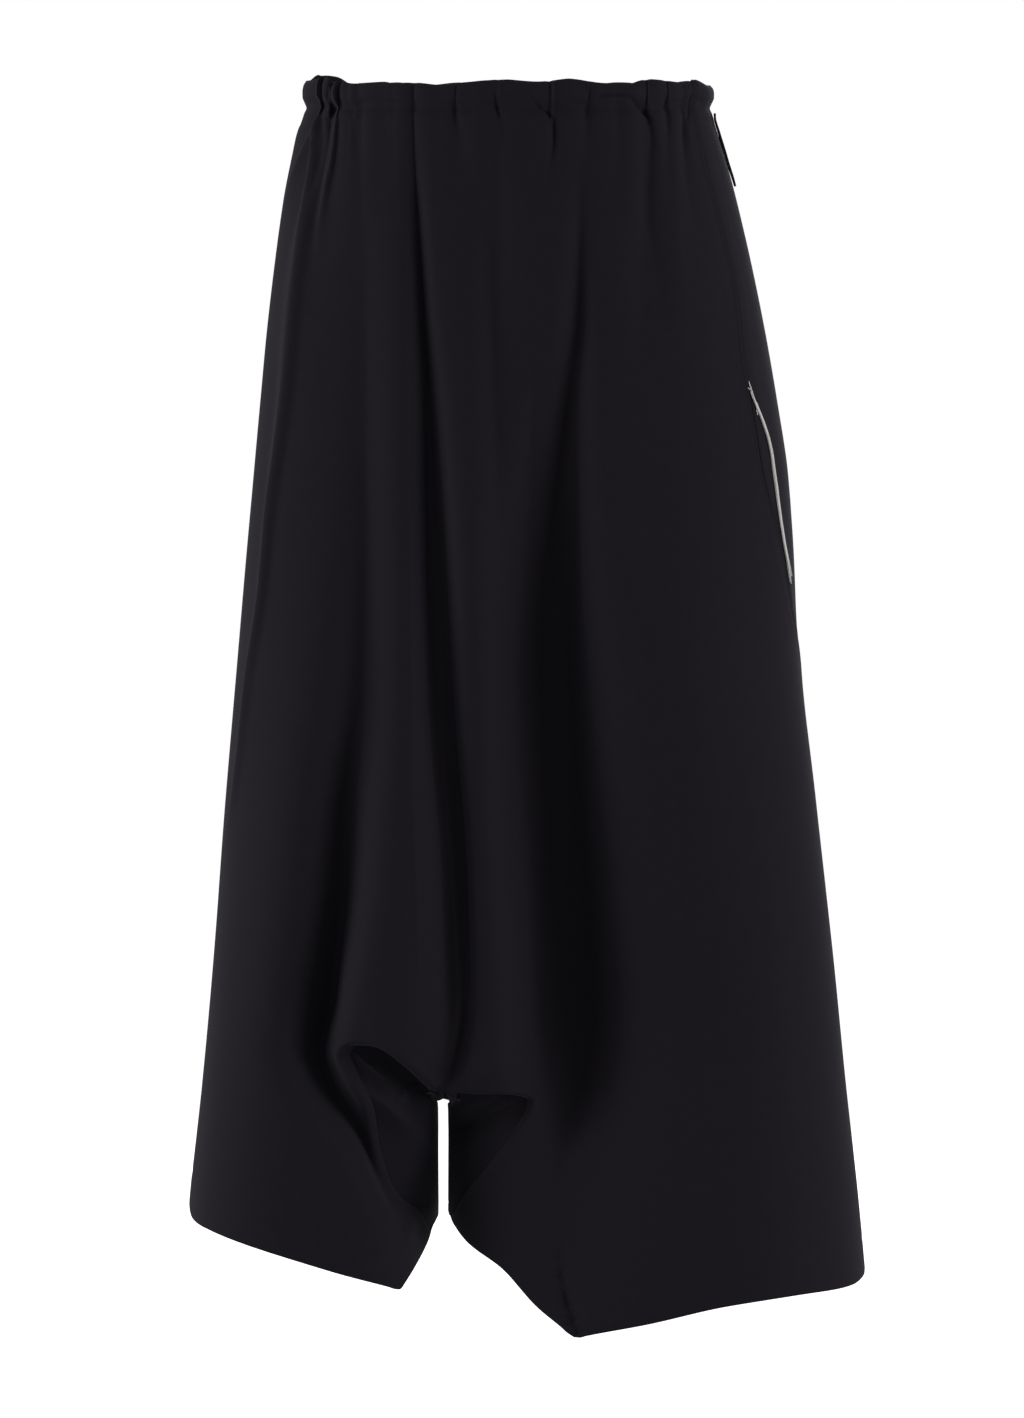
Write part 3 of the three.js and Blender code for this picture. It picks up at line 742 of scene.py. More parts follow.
def formPoint(panel, z, u, row):
    whole = wholeSection(panel.leg, z)
    single = legSection(panel.leg, z)
    start = -panel.facing * panel.leg.sideTurn(z)
    wrap = row["wrap"] if row["wrap"] is not None else angleAt(single, row["endX"])
    matched = row["matched"] * ease(0.1, 0.35, u)
    knots = columnKnots(panel, whole, z, row["endX"], row["freed"])
    share = row["share"]

    def base(place):
        wide = sectionPoint(whole, columnAngle(knots, place), panel.facing)
        even = mix(start, wrap, place)
        same = angleAt(single, wide[0]) if np.any(matched) else even
        narrow = sectionPoint(single, mix(even, same, matched), panel.facing)
        return mix(wide[0], narrow[0], share), mix(wide[1], narrow[1], share)

    x, y = base(u)
    step = 0.002
    xa, ya = base(u + step)
    xb, yb = base(u - step)
    length = np.hypot(xa - xb, ya - yb)
    turn = panel.facing * panel.leg.across
    depth = y * panel.facing
    fade = mix(ease(0, 14, depth), ease(10, 70, depth), share)
    group = folds["front"] if panel.facing < 0 else folds["back"]
    deep = foldDepth(group, x, z) * fade + gatherDepth(panel, u, z)
    return x - ((ya - yb) / length) * deep * turn, y + ((xa - xb) / length) * deep * turn


def tilted(y, z):
    return z + y * form["waistTilt"] * (1 - ease(0, form["tiltFade"], -z))


def frontPoint(panel, t, u):
    leg = panel.leg
    rise = mix(-form["waistDrop"], form["crotch"], t)
    lower = t > 1
    endX = np.where(lower, leg.end.x(t), riseFold.across(rise))
    endZ = np.where(lower, leg.end.z(t), rise)
    power = mix(4, 2.2, ease(1.8, 3, t))
    z = mix(leg.sideZ(t), endZ, u ** power)
    x, y = formPoint(panel, z, u, {
        "endX": endX,
        "wrap": None,
        "share": ease(1, 2.6, t),
        "matched": 1 - ease(1.8, 3, t),
        "freed": ease(1.2, 3, t),
    })
    level = mix(leg.sideZ(3), leg.end.z(3), u ** power)
    keepsCrease = 1 - u ** 6 * (1 - ease(2.9, 3, t))
    z = z + (leg.hem(x) - level) * ease(2, 3, t) ** 1.3 * keepsCrease
    return np.stack([x, y, tilted(y, z)], -1)


def backPoint(panel, t, u):
    leg = panel.leg
    partner = panels[panel.partner]
    side = frontPoint(partner, t, np.zeros_like(t))
    riseY = backRise.y(t)
    rise = np.stack([backRise.x(t), riseY, tilted(riseY, backRise.z(t))], -1)
    joined = frontPoint(partner, t, np.ones_like(t))
    end = np.where((t >= 1)[..., None], joined, rise)
    sideZ = leg.sideZ(t)
    endZ = np.where(t >= 1, end[..., 2], backRise.z(t))
    plain = mix(sideZ, endZ, u ** 2.2)
    inner = form["innerPlace"]
    near = mix(sideZ, innerLevel(t), np.clip(u / inner, 0, 1) ** 2.2)
    far = mix(innerLevel(t), endZ, np.clip((u - inner) / (1 - inner), 0, 1) ** 1.5)
    z = mix(plain, np.where(u < inner, near, far), ease(0.45, 0.9, t))
    wrapped = 2 * math.pi - angleAt(legSection(leg, z), end[..., 0])
    row = {
        "endX": np.minimum(end[..., 0], backRise.x(0)),
        "wrap": np.where(t > 1, wrapped, backWrap(t)),
        "share": ease(0.3, 1.02, t),
        "matched": np.zeros_like(t),
        "freed": np.zeros_like(t),
    }
    own = formPoint(panel, z, u, row)
    ownSide = formPoint(panel, z, np.zeros_like(t), row)
    ownEnd = formPoint(panel, z, np.ones_like(t), row)
    towardsSide = 1 - ease(0, 0.35, u)
    towardsEnd = ease(0.55, 1, u)
    x, y = [
        own[k]
        + (side[..., k] - ownSide[k]) * towardsSide
        + (end[..., k] - ownEnd[k]) * towardsEnd
        for k in (0, 1)
    ]
    last = mix(leg.sideZ(3), leg.end.z(3), u)
    z = z + (leg.backHem(u) - last) * ease(2, 3, t) * (1 - ease(0.85, 1, u))
    points = np.stack([x, y, tilted(y, z)], -1)
    points[u == 0] = side[u == 0]
    points[u == 1] = end[u == 1]
    return points


# Rows down a panel and columns across it, as fine as the smallest crease needs
weave = {
    "rows": 250,
    "columns": 146,
    "thick": 0.9,  # mm of pressed wool
    "seamGap": 0.12,
}


def unit(vectors):
    length = np.linalg.norm(vectors, axis=-1, keepdims=True)
    return vectors / np.maximum(length, 1e-9)


def panelGrid(name):
    panel = panels[name]
    rows = np.linspace(0, 3, weave["rows"] + 1)
    # the top third of a panel's rows in t is much longer than the others
    rows = np.where(rows < 1.8, rows / 1.8, 1 + (rows - 1.8) / 0.6)
    columns = np.linspace(0, 1, weave["columns"] + 1)
    # closer together near the seams
    columns = columns - 0.07 * np.sin(2 * math.pi * columns)
    columns[-1] = 1
    t, u = np.meshgrid(rows, columns, indexing="ij")
    point = frontPoint if panel.facing < 0 else backPoint
    return point(panel, t, u), t, u


grids = {}
for name in panels:
    grids[name] = panelGrid(name)
longTop = grids["front_long_leg"][1][:, 0] <= 1
grids["front_long_leg"][0][longTop, -1] = grids["front_short_leg"][0][longTop, -1]
print("panels laid out", {name: grid[0].shape for name, grid in grids.items()})


# Outward side of a panel, which runs the other way on the other leg and at the back
def outwardOf(name):
    return -panels[name].facing * panels[name].leg.across


def faceSums(points, outward):
    # the normals of the faces round each grid point, added up
    sums = np.zeros_like(points)
    first = points[1:, 1:] - points[:-1, :-1]
    second = points[1:, :-1] - points[:-1, 1:]
    face = unit(np.cross(first, second)) * outward
    sums[:-1, :-1] += face
    sums[:-1, 1:] += face
    sums[1:, :-1] += face
    sums[1:, 1:] += face
    return sums


def sharedNormals(groups):
    # points that two pieces share get one normal between them, so that the cloth meets there
    flat = np.concatenate([points.reshape(-1, 3) for points, outward in groups])
    sums = np.concatenate([faceSums(*group).reshape(-1, 3) for group in groups])
    rounded = np.round(flat * 20).astype(np.int64)
    _, same = np.unique(rounded, axis=0, return_inverse=True)
    same = same.reshape(-1)
    total = np.zeros((same.max() + 1, 3))
    np.add.at(total, same, sums)
    normals = unit(total[same])
    parts = []
    start = 0
    for points, outward in groups:
        count = points.shape[0] * points.shape[1]
        parts.append(normals[start:start + count].reshape(points.shape))
        start += count
    return parts


def runLength(points, axis):
    # the distance along the cloth from its first row or column
    steps = np.linalg.norm(np.diff(points, axis=axis), axis=-1)
    zero = np.zeros_like(np.take(steps, [0], axis))
    return np.concatenate([zero, np.cumsum(steps, axis=axis)], axis)


def makeMesh(name, points, faces, places, material):
    mesh = bpy.data.meshes.new(name)
    mesh.vertices.add(len(points))
    mesh.vertices.foreach_set("co", (points * metre).ravel())
    mesh.loops.add(faces.size)
    mesh.loops.foreach_set("vertex_index", faces.ravel())
    mesh.polygons.add(len(faces))
    mesh.polygons.foreach_set("loop_start", np.arange(0, faces.size, 4))
    mesh.polygons.foreach_set("use_smooth", np.ones(len(faces), bool))
    mesh.update(calc_edges=True)
    cloth = mesh.uv_layers.new(name="cloth")
    cloth.data.foreach_set("uv", (places * metre)[faces.ravel()].ravel())
    mesh.set_sharp_from_angle(angle=math.radians(60))
    mesh.materials.append(material)
    made = bpy.data.objects.new(name, mesh)
    bpy.context.scene.collection.objects.link(made)
    return made


def quads(rows, columns, loop=False):
    # the corners of a grid's faces, with the last column joined to the first in a loop
    i, j = np.meshgrid(np.arange(rows - 1), np.arange(columns - (0 if loop else 1)), indexing="ij")
    k = (j + 1) % columns
    ring = [i * columns + j, i * columns + k, (i + 1) * columns + k, (i + 1) * columns + j]
    return np.stack(ring, -1).reshape(-1, 4)


def rim(order, count):
    # the faces that close a shell along its open edge
    after = np.roll(order, -1)
    return np.stack([order, order + count, after + count, after], -1)


def shell(name, points, normal, thick, outward, material, loop=False):
    rows, columns = points.shape[:2]
    count = rows * columns
    outer = (points + normal * thick / 2).reshape(-1, 3)
    inner = (points - normal * thick / 2).reshape(-1, 3)
    front = quads(rows, columns, loop)
    index = np.arange(count).reshape(rows, columns)
    if loop:
        edges = [rim(index[0], count), rim(index[-1][::-1], count)]
    else:
        border = np.concatenate([index[0], index[1:, -1], index[-1, -2::-1], index[-2:0:-1, 0]])
        edges = [rim(border, count)]
    faces = np.concatenate([front, front[:, ::-1] + count, *edges])
    if outward < 0:
        faces = faces[:, ::-1]
    across = runLength(points, 1)
    down = runLength(points, 0)
    middle = columns // 2
    place = np.stack([across - across[:, middle:middle + 1], -down], -1).reshape(-1, 2)
    return makeMesh(name, np.concatenate([outer, inner]), faces,
                    np.concatenate([place, place]), material)



def tube(stops, radius, sides):
    # a closed tube along a line of points, with its ends drawn to a blunt tip
    ahead = unit(np.gradient(stops, axis=0))
    across = unit(np.cross(ahead, [0.3, -0.9, 0.1]))
    up = np.cross(ahead, across)
    turns = np.arange(sides) * 2 * math.pi / sides
    rings = []
    for k, stop in enumerate(stops):
        size = radius[k]
        rings.append(stop + size * (np.cos(turns)[:, None] * across[k] + np.sin(turns)[:, None] * up[k]))
    points = np.array(rings)
    faces = quads(len(stops), sides, loop=True)
    caps = []
    for start in (0, (len(stops) - 1) * sides):
        ring = np.arange(start, start + sides)
        for k in range(sides // 2 - 1):
            cap = [ring[k], ring[k + 1], ring[-2 - k], ring[-1 - k]]
            caps.append(cap if start else cap[::-1])
    return points.reshape(-1, 3), np.concatenate([faces, np.array(caps)])


def joined(parts):
    points = []
    faces = []
    count = 0
    for part, corners in parts:
        points.append(part)
        faces.append(corners + count)
        count += len(part)
    return np.concatenate(points), np.concatenate(faces)


# The waist tie's end, a flat tape that hangs behind the side seam from under the waistband
tie = {
    "place": 0.092,  # its u on the long leg's back panel
    "width": 8.5,
    "thick": 1.3,
    "closer": 0.7,  # than its route, which has to clear the solid panel's thicker wall
    "stops": 46,
}
tieRows = [
    # z, off the panel, share of the full width
    [-9.5, 2.15, 1],
    [-13, 2.2, 1],
    [-18, 2.3, 1],
    [-26, 2.4, 1],
    [-34, 2.4, 1],
    [-42, 2.5, 1],
    [-50, 2.8, 1],
    [-55, 3, 0.96],
    [-58, 3, 0.8],
    [-60, 2.9, 0.45],
]
tieShape = curves("z off share", tieRows)


def tieLine(z):
    leg = longLeg
    t = np.maximum(0, (-z - form["waistDrop"]) / (leg.sideZ(0) - leg.sideZ(1)))
    panel = panels["back_long_leg"]
    centre, before, after = [
        backPoint(panel, t, np.full_like(t, tie["place"] + step)) for step in (0, -0.05, 0.05)
    ]
    along = unit((after - before) * [1, 1, 0])
    out = np.stack([along[:, 1], -along[:, 0], 0 * z], -1)
    middle = centre + out * tieShape.off(z)[:, None]
    middle[:, 2] = tilted(centre[:, 1], z)
    return middle, along, out


def makeTie():
    z = np.linspace(tieRows[0][0], tieRows[-1][0], tie["stops"])
    middle, along, out = tieLine(z)
    sides = np.linspace(-1, 1, 9) * tie["width"] / 2
    # a woven tape cups a little and leans as it hangs
    cupped = 0.35 * (1 - (sides / sides[-1]) ** 2)
    lean = 0.05 * sides[None] * ease(-30, -60, z)[:, None]
    points = middle[:, None] + along[:, None] * (sides[None] * tieShape.share(z)[:, None])[..., None]
    points = points + out[:, None] * (cupped[None] + lean - tie["closer"])[..., None]
    normal = np.repeat(out[:, None], len(sides), 1)
    made = shell("waist_tie_tape", points, normal, tie["thick"], -1, materials["tape"])
    route = tieLine(np.array([row[0] for row in tieRows], float))[0] * metre
    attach(made, "root")
    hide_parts("waist_tie")
    return made


# Basting threads that held the pocket shut, cut and left hanging from its top
tail = {
    "thick": 0.6,
    "reach": 138,
    "bundle": 4.5,  # width of the whole bundle
    "stops": 70,
    "sides": 8,
    "fromPanel": 1.4,
}
tailSwing = curves("z away", [
    [-198, 0],
    [-206, 0.6],
    [-211, 1.6],
    [-218, 4],
    [-229, 8.3],
    [-242, 12.2],
    [-253, 13.6],
    [-267, 12.8],
    [-287, 9],
    [-301, 5],
    [-315, 3.4],
    [-327, 3.6],
    [-344, 1.2],
]).away
# across and layer place a strand in the bundle, start and short are how far its ends stay back
strands = [
    [-1.5, 0, 7, 4],
    [-0.5, 0, 0, 1],
    [0.5, 0, 1, 6],
    [1.5, 0, 9, 0],
    [-1.5, 1, 12, 2],
    [-0.5, 1, 3, 7],
    [0.5, 1, 6, 3],
    [1.5, 1, 14, 5],
]
# Short cut ends beside the tail, by how far each point lies across, off and below its top
cutEnds = [
    [[-0.6, 0.6, -5], [-1.6, 0.9, -5.6], [-2.7, 0.6, -4.4]],
    [[0.4, 0.8, -14], [-0.6, 0.9, -16.5], [-1.6, 0.8, -19]],
    [[-1.9, 0.5, -19.6], [-2.6, 0.4, -22.2], [-3, 0.3, -23]],
]


def besideSeam(z, away):
    # points and normals on the long leg's back panel, measured from the side seam
    points = grids["back_long_leg"][0]
    normal = sharedNormals([(points, outwardOf("back_long_leg"))])[0]
    run = runLength(points, 1)
    level = points[:, 0, 2]
    places = []
    for height, reach in zip(z, away):
        i = int(np.clip(np.searchsorted(-level, -height) - 1, 0, len(level) - 2))
        share = (level[i] - height) / (level[i] - level[i + 1])
        pair = []
        for row in (i, i + 1):
            j = int(np.clip(np.searchsorted(run[row], reach) - 1, 0, run.shape[1] - 2))
            part = (reach - run[row, j]) / (run[row, j + 1] - run[row, j])
            pair.append([mix(a[row, j], a[row, j + 1], part) for a in (points, normal)])
        places.append([mix(pair[0][k], pair[1][k], share) for k in (0, 1)])
    places = np.array(places)
    return places[:, 0], unit(places[:, 1])


def tailPoints(z, across, off):
    base, out = besideSeam(z, tailSwing(z))
    along = unit(np.stack([-out[:, 1], out[:, 0], 0 * z], -1))
    return base + out * off[:, None] + along * across[:, None]


def makeTail():
    top = form["pocketTop"] - 3.5
    share = np.linspace(0, 1, tail["stops"])
    parts = []
    for k, (across, layer, start, short) in enumerate(strands):
        z = mix(top - start, top - tail["reach"] + short, share)
        spread = mix(0.55, 1.05, share ** 0.8) + 0.1 * np.sin(2 * k + 5 * share) * share
        frayed = (across * 0.5 + 0.4 * math.sin(3 * k)) * ease(0.9, 1, share)
        side = across * spread + frayed + 0.22 * np.sin(9 * share + 1.7 * k)
        off = tail["fromPanel"] + 0.62 * layer + 0.3 * np.sin(7 * share + k) ** 2 * share
        radius = np.full(len(share), tail["thick"] / 2)
        parts.append(tube(tailPoints(z, side, off), radius, tail["sides"]))
    for end in cutEnds:
        line = np.array(end, float)
        at = np.linspace(0, 1, len(line))
        fine = np.linspace(0, 1, 16)
        across, off, up = [smoothCurve(at, line[:, k])(fine) for k in range(3)]
        radius = np.full(len(fine), tail["thick"] / 2)
        place = tailPoints(top + up, across, off + tail["fromPanel"] - 0.6)
        parts.append(tube(place, radius, tail["sides"]))
    points, faces = joined(parts)
    made = makeMesh("thread_tail_strands", points, faces, points[:, [0, 2]], materials["thread"])
    z = np.linspace(top, top - tail["reach"] + 1.5, 24)
    middle = np.full(len(z), tail["fromPanel"] + 0.3)
    route = tailPoints(z, 0 * z, middle) * metre
    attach(made, "root")
    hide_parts("thread_tail")
    return made


makeTie()
makeTail()
print("tie and thread tail made")


# Small folds that the solids are too coarse for. A negative depth stands out as a ridge.
# The waist's own folds start in the band, which reaches up to z 3 in front and 22 at the back.
waistRidge = curves(foldColumns, [
    [-14, -128, 0, 2, 2],
    [-24, -133, -2.6, 1.8, 2],
    [-46, -143.5, -2.8, 2.2, 2.6],
    [-60, -150, -1.6, 3, 4],
    [-85, -156, 0, 3, 4],
])
cornerLine = curves(foldColumns, [
    [-4, -127, 0, 1.6, 1.8],
    [-14, -128.8, -2, 1.6, 1.8],
    [-27, -132.4, -3, 1.6, 1.8],
    [-54, -135.2, -3.2, 1.8, 2.2],
    [-75, -138.7, -3, 2, 3],
    [-95, -141.4, -2.4, 2.6, 4.4],
    [-130, -143.5, -1.6, 3.4, 7],
    [-190, -148, 0, 4, 8],
])
cornerCrease = curves(foldColumns, [
    [-80, -138, 0, 5, 4],
    [-140, -144, -4.2, 7, 3],
    [-211, -150.6, -5, 5, 3],
    [-253, -156.1, -5, 4, 2.6],
    [-286, -161, -4.8, 3.2, 2.6],
    [-350, -168, -4.2, 2.6, 2.4],
    [-404, -177, -3.6, 2.4, 2.4],
    [-457, -184, -2.6, 2.2, 2.4],
    [-515, -194, 0, 2, 3],
])
bandLine = curves(foldColumns, [
    [8, -117.2, -1.2, 1.4, 1.6],
    [-5, -118.4, -2.4, 1.4, 1.6],
    [-14, -116.6, -3, 1.4, 1.8],
    [-26, -118, -3.2, 1.5, 2],
    [-47, -120, -3.2, 1.7, 2.2],
    [-67, -124.2, -2.8, 2, 2.8],
    [-92, -128.3, -2, 2.2, 4],
    [-120, -131, 0, 3, 5],
])
notchLine = curves(foldColumns, [
    [10, -122, 2.6, 1.8, 1.8],
    [-2, -123.5, 4.2, 1.8, 1.8],
    [-12, -122, 3.4, 1.8, 1.8],
    [-24, -124.4, 4, 2.2, 2.2],
    [-46, -127.6, 3.6, 2.8, 2.8],
    [-75, -131.5, 2.4, 3.2, 3.2],
    [-115, -135, 0, 4, 4],
])
leftTick = curves(foldColumns, [
    [-6, -107, 0, 1.8, 2],
    [-16, -107, 1.2, 1.8, 2],
    [-30, -106, 0.9, 2.4, 3],
    [-56, -105, 0, 4, 5],
])
bandPucker = curves(foldColumns, [
    [4, -34.5, 0.6, 1.6, 1.8],
    [-8, -36, 2.2, 1.6, 2],
    [-18, -36.7, 2.5, 1.8, 2.4],
    [-28, -34.7, 1.7, 3, 4],
    [-52, -31.3, 1.1, 6, 7],
    [-90, -28, 0, 8, 9],
])
middlePucker = curves(foldColumns, [
    [-2, -10.5, 0, 1.5, 1.7],
    [-9, -9, 1.7, 1.5, 1.7],
    [-18, -6.8, 2.3, 1.5, 2],
    [-28, -4.2, 1.9, 2, 2.6],
    [-44, -5, 0.9, 4, 5],
    [-66, -7, 0, 6, 8],
])
hookPucker = curves(foldColumns, [
    [-6, 15, 0, 2.4, 2.4],
    [-11, 18, 1.2, 2.4, 2.2],
    [-15, 22, 2.2, 2.2, 2],
    [-20, 28, 2.8, 1.9, 1.8],
    [-27, 31.4, 2.8, 1.7, 1.7],
    [-38, 31.6, 2.4, 1.9, 2],
    [-48, 30.2, 1.8, 2.4, 2.6],
    [-68, 27, 0, 3, 4],
])
shortPucker = curves(foldColumns, [
    [0, 55.5, 0, 1.4, 1.5],
    [-7, 54.8, 1.5, 1.4, 1.6],
    [-17, 53.4, 1.9, 1.4, 1.6],
    [-25, 53.4, 0.8, 2, 2.4],
    [-38, 53, 0, 3, 3.4],
])
archPucker = curves(foldColumns, [
    [-5, 82, 0, 3, 3],
    [-10, 87, 1.6, 2.6, 2.6],
    [-15, 92.4, 2.6, 2, 2],
    [-21, 96.1, 3, 1.8, 1.8],
    [-31, 98.2, 2.5, 2.4, 2.6],
    [-50, 97.5, 2.1, 4, 4.6],
    [-90, 94.7, 2.1, 8, 8],
    [-145, 91.3, 1.6, 10, 11],
    [-210, 90, 0, 12, 13],
])
edgePuckers = [
    curves(foldColumns, [
        [-1, 105, 0, 1.3, 1.4],
        [-9, 108.4, 1.4, 1.3, 1.4],
        [-17, 109.6, 1.5, 1.4, 1.6],
        [-36, 110, 0, 2.6, 3],
    ]),
    curves(foldColumns, [
        [2, 126.4, 0, 1.2, 1.3],
        [-6, 125.6, 1.8, 1.2, 1.3],
        [-15, 124.4, 1.7, 1.2, 1.3],
        [-23, 123.6, 0, 1.8, 2],
    ]),
    curves(foldColumns, [
        [-14, 121, 0, 1.5, 2.4],
        [-24, 120.8, 1.2, 1.5, 2.4],
        [-34, 120.4, 0.9, 2, 3],
        [-50, 121, 0, 3, 4],
    ]),
]
sideLine = curves(foldColumns, [
    [-32, 112.4, 0, 3, 2],
    [-60, 114.6, -0.9, 5, 4],
    [-110, 115.6, -1.1, 8, 6],
    [-170, 118, -0.6, 9, 8],
    [-240, 121, 0, 9, 8],
])
leftLine = curves(foldColumns, [
    [-270, -67, 0, 3, 1.8],
    [-352, -66.4, -1.4, 3, 1.8],
    [-460, -65.6, -2, 3, 1.8],
    [-560, -62, -1.4, 3, 1.8],
    [-620, -60, 0, 3, 1.8],
])
hemCreases = [
    curves(foldColumns, [
        [-786, 32, 0, 1.8, 5],
        [-800, 33.5, 2.4, 1.6, 5],
        [-822, 37, 4.4, 1.5, 5],
        [-852, 45.5, 4.6, 1.5, 5],
    ]),
    curves(foldColumns, [
        [-806, 30, 0, 1.2, 2],
        [-818, 33.4, 1.1, 1.1, 2],
        [-838, 39.6, 0.8, 1.1, 2],
        [-846, 42, 0, 1.1, 2],
    ]),
]
# The deep folds close up towards their floors
riseFloor = curves(foldColumns, [
    [-190, -55, 0, 3, 3],
    [-290, -51, 4, 5, 8],
    [-360, -48.5, 6, 7, 9],
    [-420, -45.5, 7, 9, 10],
    [-555, -35.5, 8, 8, 10],
    [-640, -35, 7, 8, 10],
    [-690, -44, 0, 8, 9],
])
wideFloor = curves(foldColumns, [
    [-190, 47, 0, 5, 4],
    [-290, 40.5, 7, 9, 7],
    [-352, 38, 11, 15, 11],
    [-420, 37, 14, 21, 18],
    [-488, 38, 16, 24, 25],
    [-555, 41, 17, 26, 32],
    [-623, 44, 17, 26, 37],
    [-680, 44, 12, 23, 37],
    [-730, 42, 0, 20, 34],
])
middleHollow = curves(foldColumns, [
    [-150, 18, 0, 16, 14],
    [-216, 18, 6, 18, 15],
    [-290, 18, 10, 22, 17],
    [-370, 17, 10, 24, 18],
    [-450, 14, 6, 22, 18],
    [-540, 10, 0, 18, 16],
])
shallowFold = curves(foldColumns, [
    [-250, 92, 0, 12, 16],
    [-330, 96, 1.6, 14, 18],
    [-470, 104, 2, 16, 22],
    [-600, 110, 1.2, 18, 24],
    [-700, 114, 0, 18, 24],
])


def backPucker(low, high, deep, wide, reach):
    # a fold that runs down out of the band and dies away below it
    return curves(foldColumns, [
        [24, high, 0.4 * deep, wide, wide],
        [10, mix(high, low, 0.4), deep, wide, wide],
        [-3, low, deep, 1.2 * wide, 1.2 * wide],
        [-3 - 0.4 * reach, low, 0.6 * deep, 2.4 * wide, 2.4 * wide],
        [-3 - reach, low, 0, 4 * wide, 4 * wide],
    ])


backPuckers = [
    backPucker(-133, -134.5, 1.8, 1.5, 26),
    backPucker(-112, -109.5, 2.6, 1.6, 60),
    backPucker(-84, -82, 2.8, 1.8, 44),
    backPucker(-58, -62, 1.6, 1.7, 24),
    backPucker(-31, -27, 2.6, 1.7, 52),
    backPucker(-8, -11, 1.4, 1.5, 20),
    backPucker(14, 18, 2.4, 1.8, 36),
    backPucker(41, 39, 1.4, 1.6, 20),
    backPucker(62, 65, 2.7, 1.7, 70),
    backPucker(92, 88, 2, 1.6, 30),
    backPucker(120, 122.5, 2.4, 1.5, 46),
]
backLine = curves(foldColumns, [
    [-20, -112, 0, 2.4, 2.4],
    [-40, -113, 1.8, 3, 3.6],
    [-120, -117, 1.6, 5, 6],
    [-220, -122, 0, 7, 8],
])
backSideLine = curves(foldColumns, [
    [-20, 120, 0, 2.4, 2.4],
    [-40, 121, 2, 3, 3.6],
    [-140, 128, 1.8, 5, 7],
    [-250, 132, 0, 7, 9],
])
smallFolds = {
    "front": [
        waistRidge, cornerLine, cornerCrease, bandLine, notchLine, leftTick, bandPucker,
        middlePucker, hookPucker, shortPucker, archPucker, *edgePuckers, sideLine, leftLine,
        *hemCreases, riseFloor, wideFloor, middleHollow, shallowFold,
    ],
    "back": [*backPuckers, backLine, backSideLine],
}

# Finer gathers between the main ones, where the elastic draws the panels in
fineGathers = {
    "each": 1.7,  # of these to a main gather
    "deep": 0.4,
    "reach": 60,
}

# Slow unevenness of hanging wool: two trains of soft waves down each panel
sway = {
    "deep": 0.55,
    "wide": 19,  # mm over the wave's turn
    "lean": 260,
}

seams = {
    "groove": 0.55,
    "width": 1.3,
    "allowance": 14,
    "press": 0.22,
    "edge": 0.85,
}

hems = {
    "turn": 10,  # rows turned up inside, about 24 mm
    "gap": 1.15,
    "stitchAbove": 23,
    "stitchPitch": 7,
    "stitchDeep": 0.7,
}


def smallDepth(facing, x, y, z):
    group = smallFolds["front"] if facing < 0 else smallFolds["back"]
    return foldDepth(group, x, z) * ease(5, 30, y * facing)


def detailDepth(name, points, u):
    panel = panels[name]
    x, y, z = [points[..., k] for k in range(3)]
    small = smallDepth(panel.facing, x, y, z) * ease(0, 0.03, u) * (1 - ease(0.97, 1, u))
    below = np.clip(1 - (-form["waistDrop"] - z) / fineGathers["reach"], 0, 1)
    turns = (len(panel.gathers) + 1) * fineGathers["each"]
    phase = 2 * math.pi * turns * u + 1.9 * np.sin(9 * u + len(name)) + 1.1 * np.sin(23 * u)
    uneven = 0.6 + 0.4 * np.sin(5.3 * u + 2 * len(name))
    fine = fineGathers["deep"] * uneven * below ** 1.4 * np.sin(phase)
    slow = np.sin(x / sway["wide"] + 2.2 * np.sin(z / sway["lean"]) + len(name))
    second = np.sin(x / (0.57 * sway["wide"]) - z / sway["lean"] + 2 * panel.facing)
    soft = sway["deep"] * (slow + 0.6 * second) * ease(-40, -160, z)
    return small + (fine + soft) * ease(0, 0.06, u) * (1 - ease(0.94, 1, u))


# At the crotch each front panel's inner edge folds over the back panel, which turns in under it.
# The rows run along that edge: deep is how far the cloth goes in there, ridge how far the front
# panel swells beside it.
lip = {
    "under": 2.3,  # width of the turn on the front panel
    "hollow": 20,  # and on the back panel
    "ridgeAt": 5.5,
    "ridgeWide": 3.6,
}
lipEdges = {
    "short": curves("t deep ridge", [
        [1, 0, 0],
        [1.15, 6, 0.5],
        [1.4, 12, 0.9],
        [1.7, 13.5, 1],
        [1.9, 11, 1],
        [2.1, 8, 1],
        [2.5, 4.5, 0.9],
        [2.85, 1.6, 0.4],
        [3, 0, 0],
    ]),
    "long": curves("t deep ridge", [
        [1, 0, 0],
        [1.1, 6, 0.4],
        [1.35, 14, 0.7],
        [1.75, 16, 0.9],
        [1.93, 11, 1.2],
        [2.1, 7, 1.8],
        [2.5, 4.5, 2],
        [2.85, 1.8, 0.8],
        [3, 0, 0],
    ]),
}


def lipDepth(name, points, t):
    panel = panels[name]
    rows = lipEdges["short" if panel.leg is shortLeg else "long"]
    along = t[:, 0] >= 1
    edge = points[along, -1]
    near = points[..., 2] < form["crotch"] + 110
    away = np.linalg.norm(points[near][:, None] - edge[None], axis=-1)
    nearest = away.argmin(1)
    away = away.min(1)
    at = t[along, 0][nearest]
    depth = np.zeros(points.shape[:2])
    if panel.facing > 0:
        depth[near] = rows.deep(at) * np.exp(-((away / lip["hollow"]) ** 2))
    else:
        swell = rows.ridge(at) * np.exp(-(((away - lip["ridgeAt"]) / lip["ridgeWide"]) ** 2))
        depth[near] = rows.deep(at) * np.exp(-((away / lip["under"]) ** 2)) - swell
    return depth


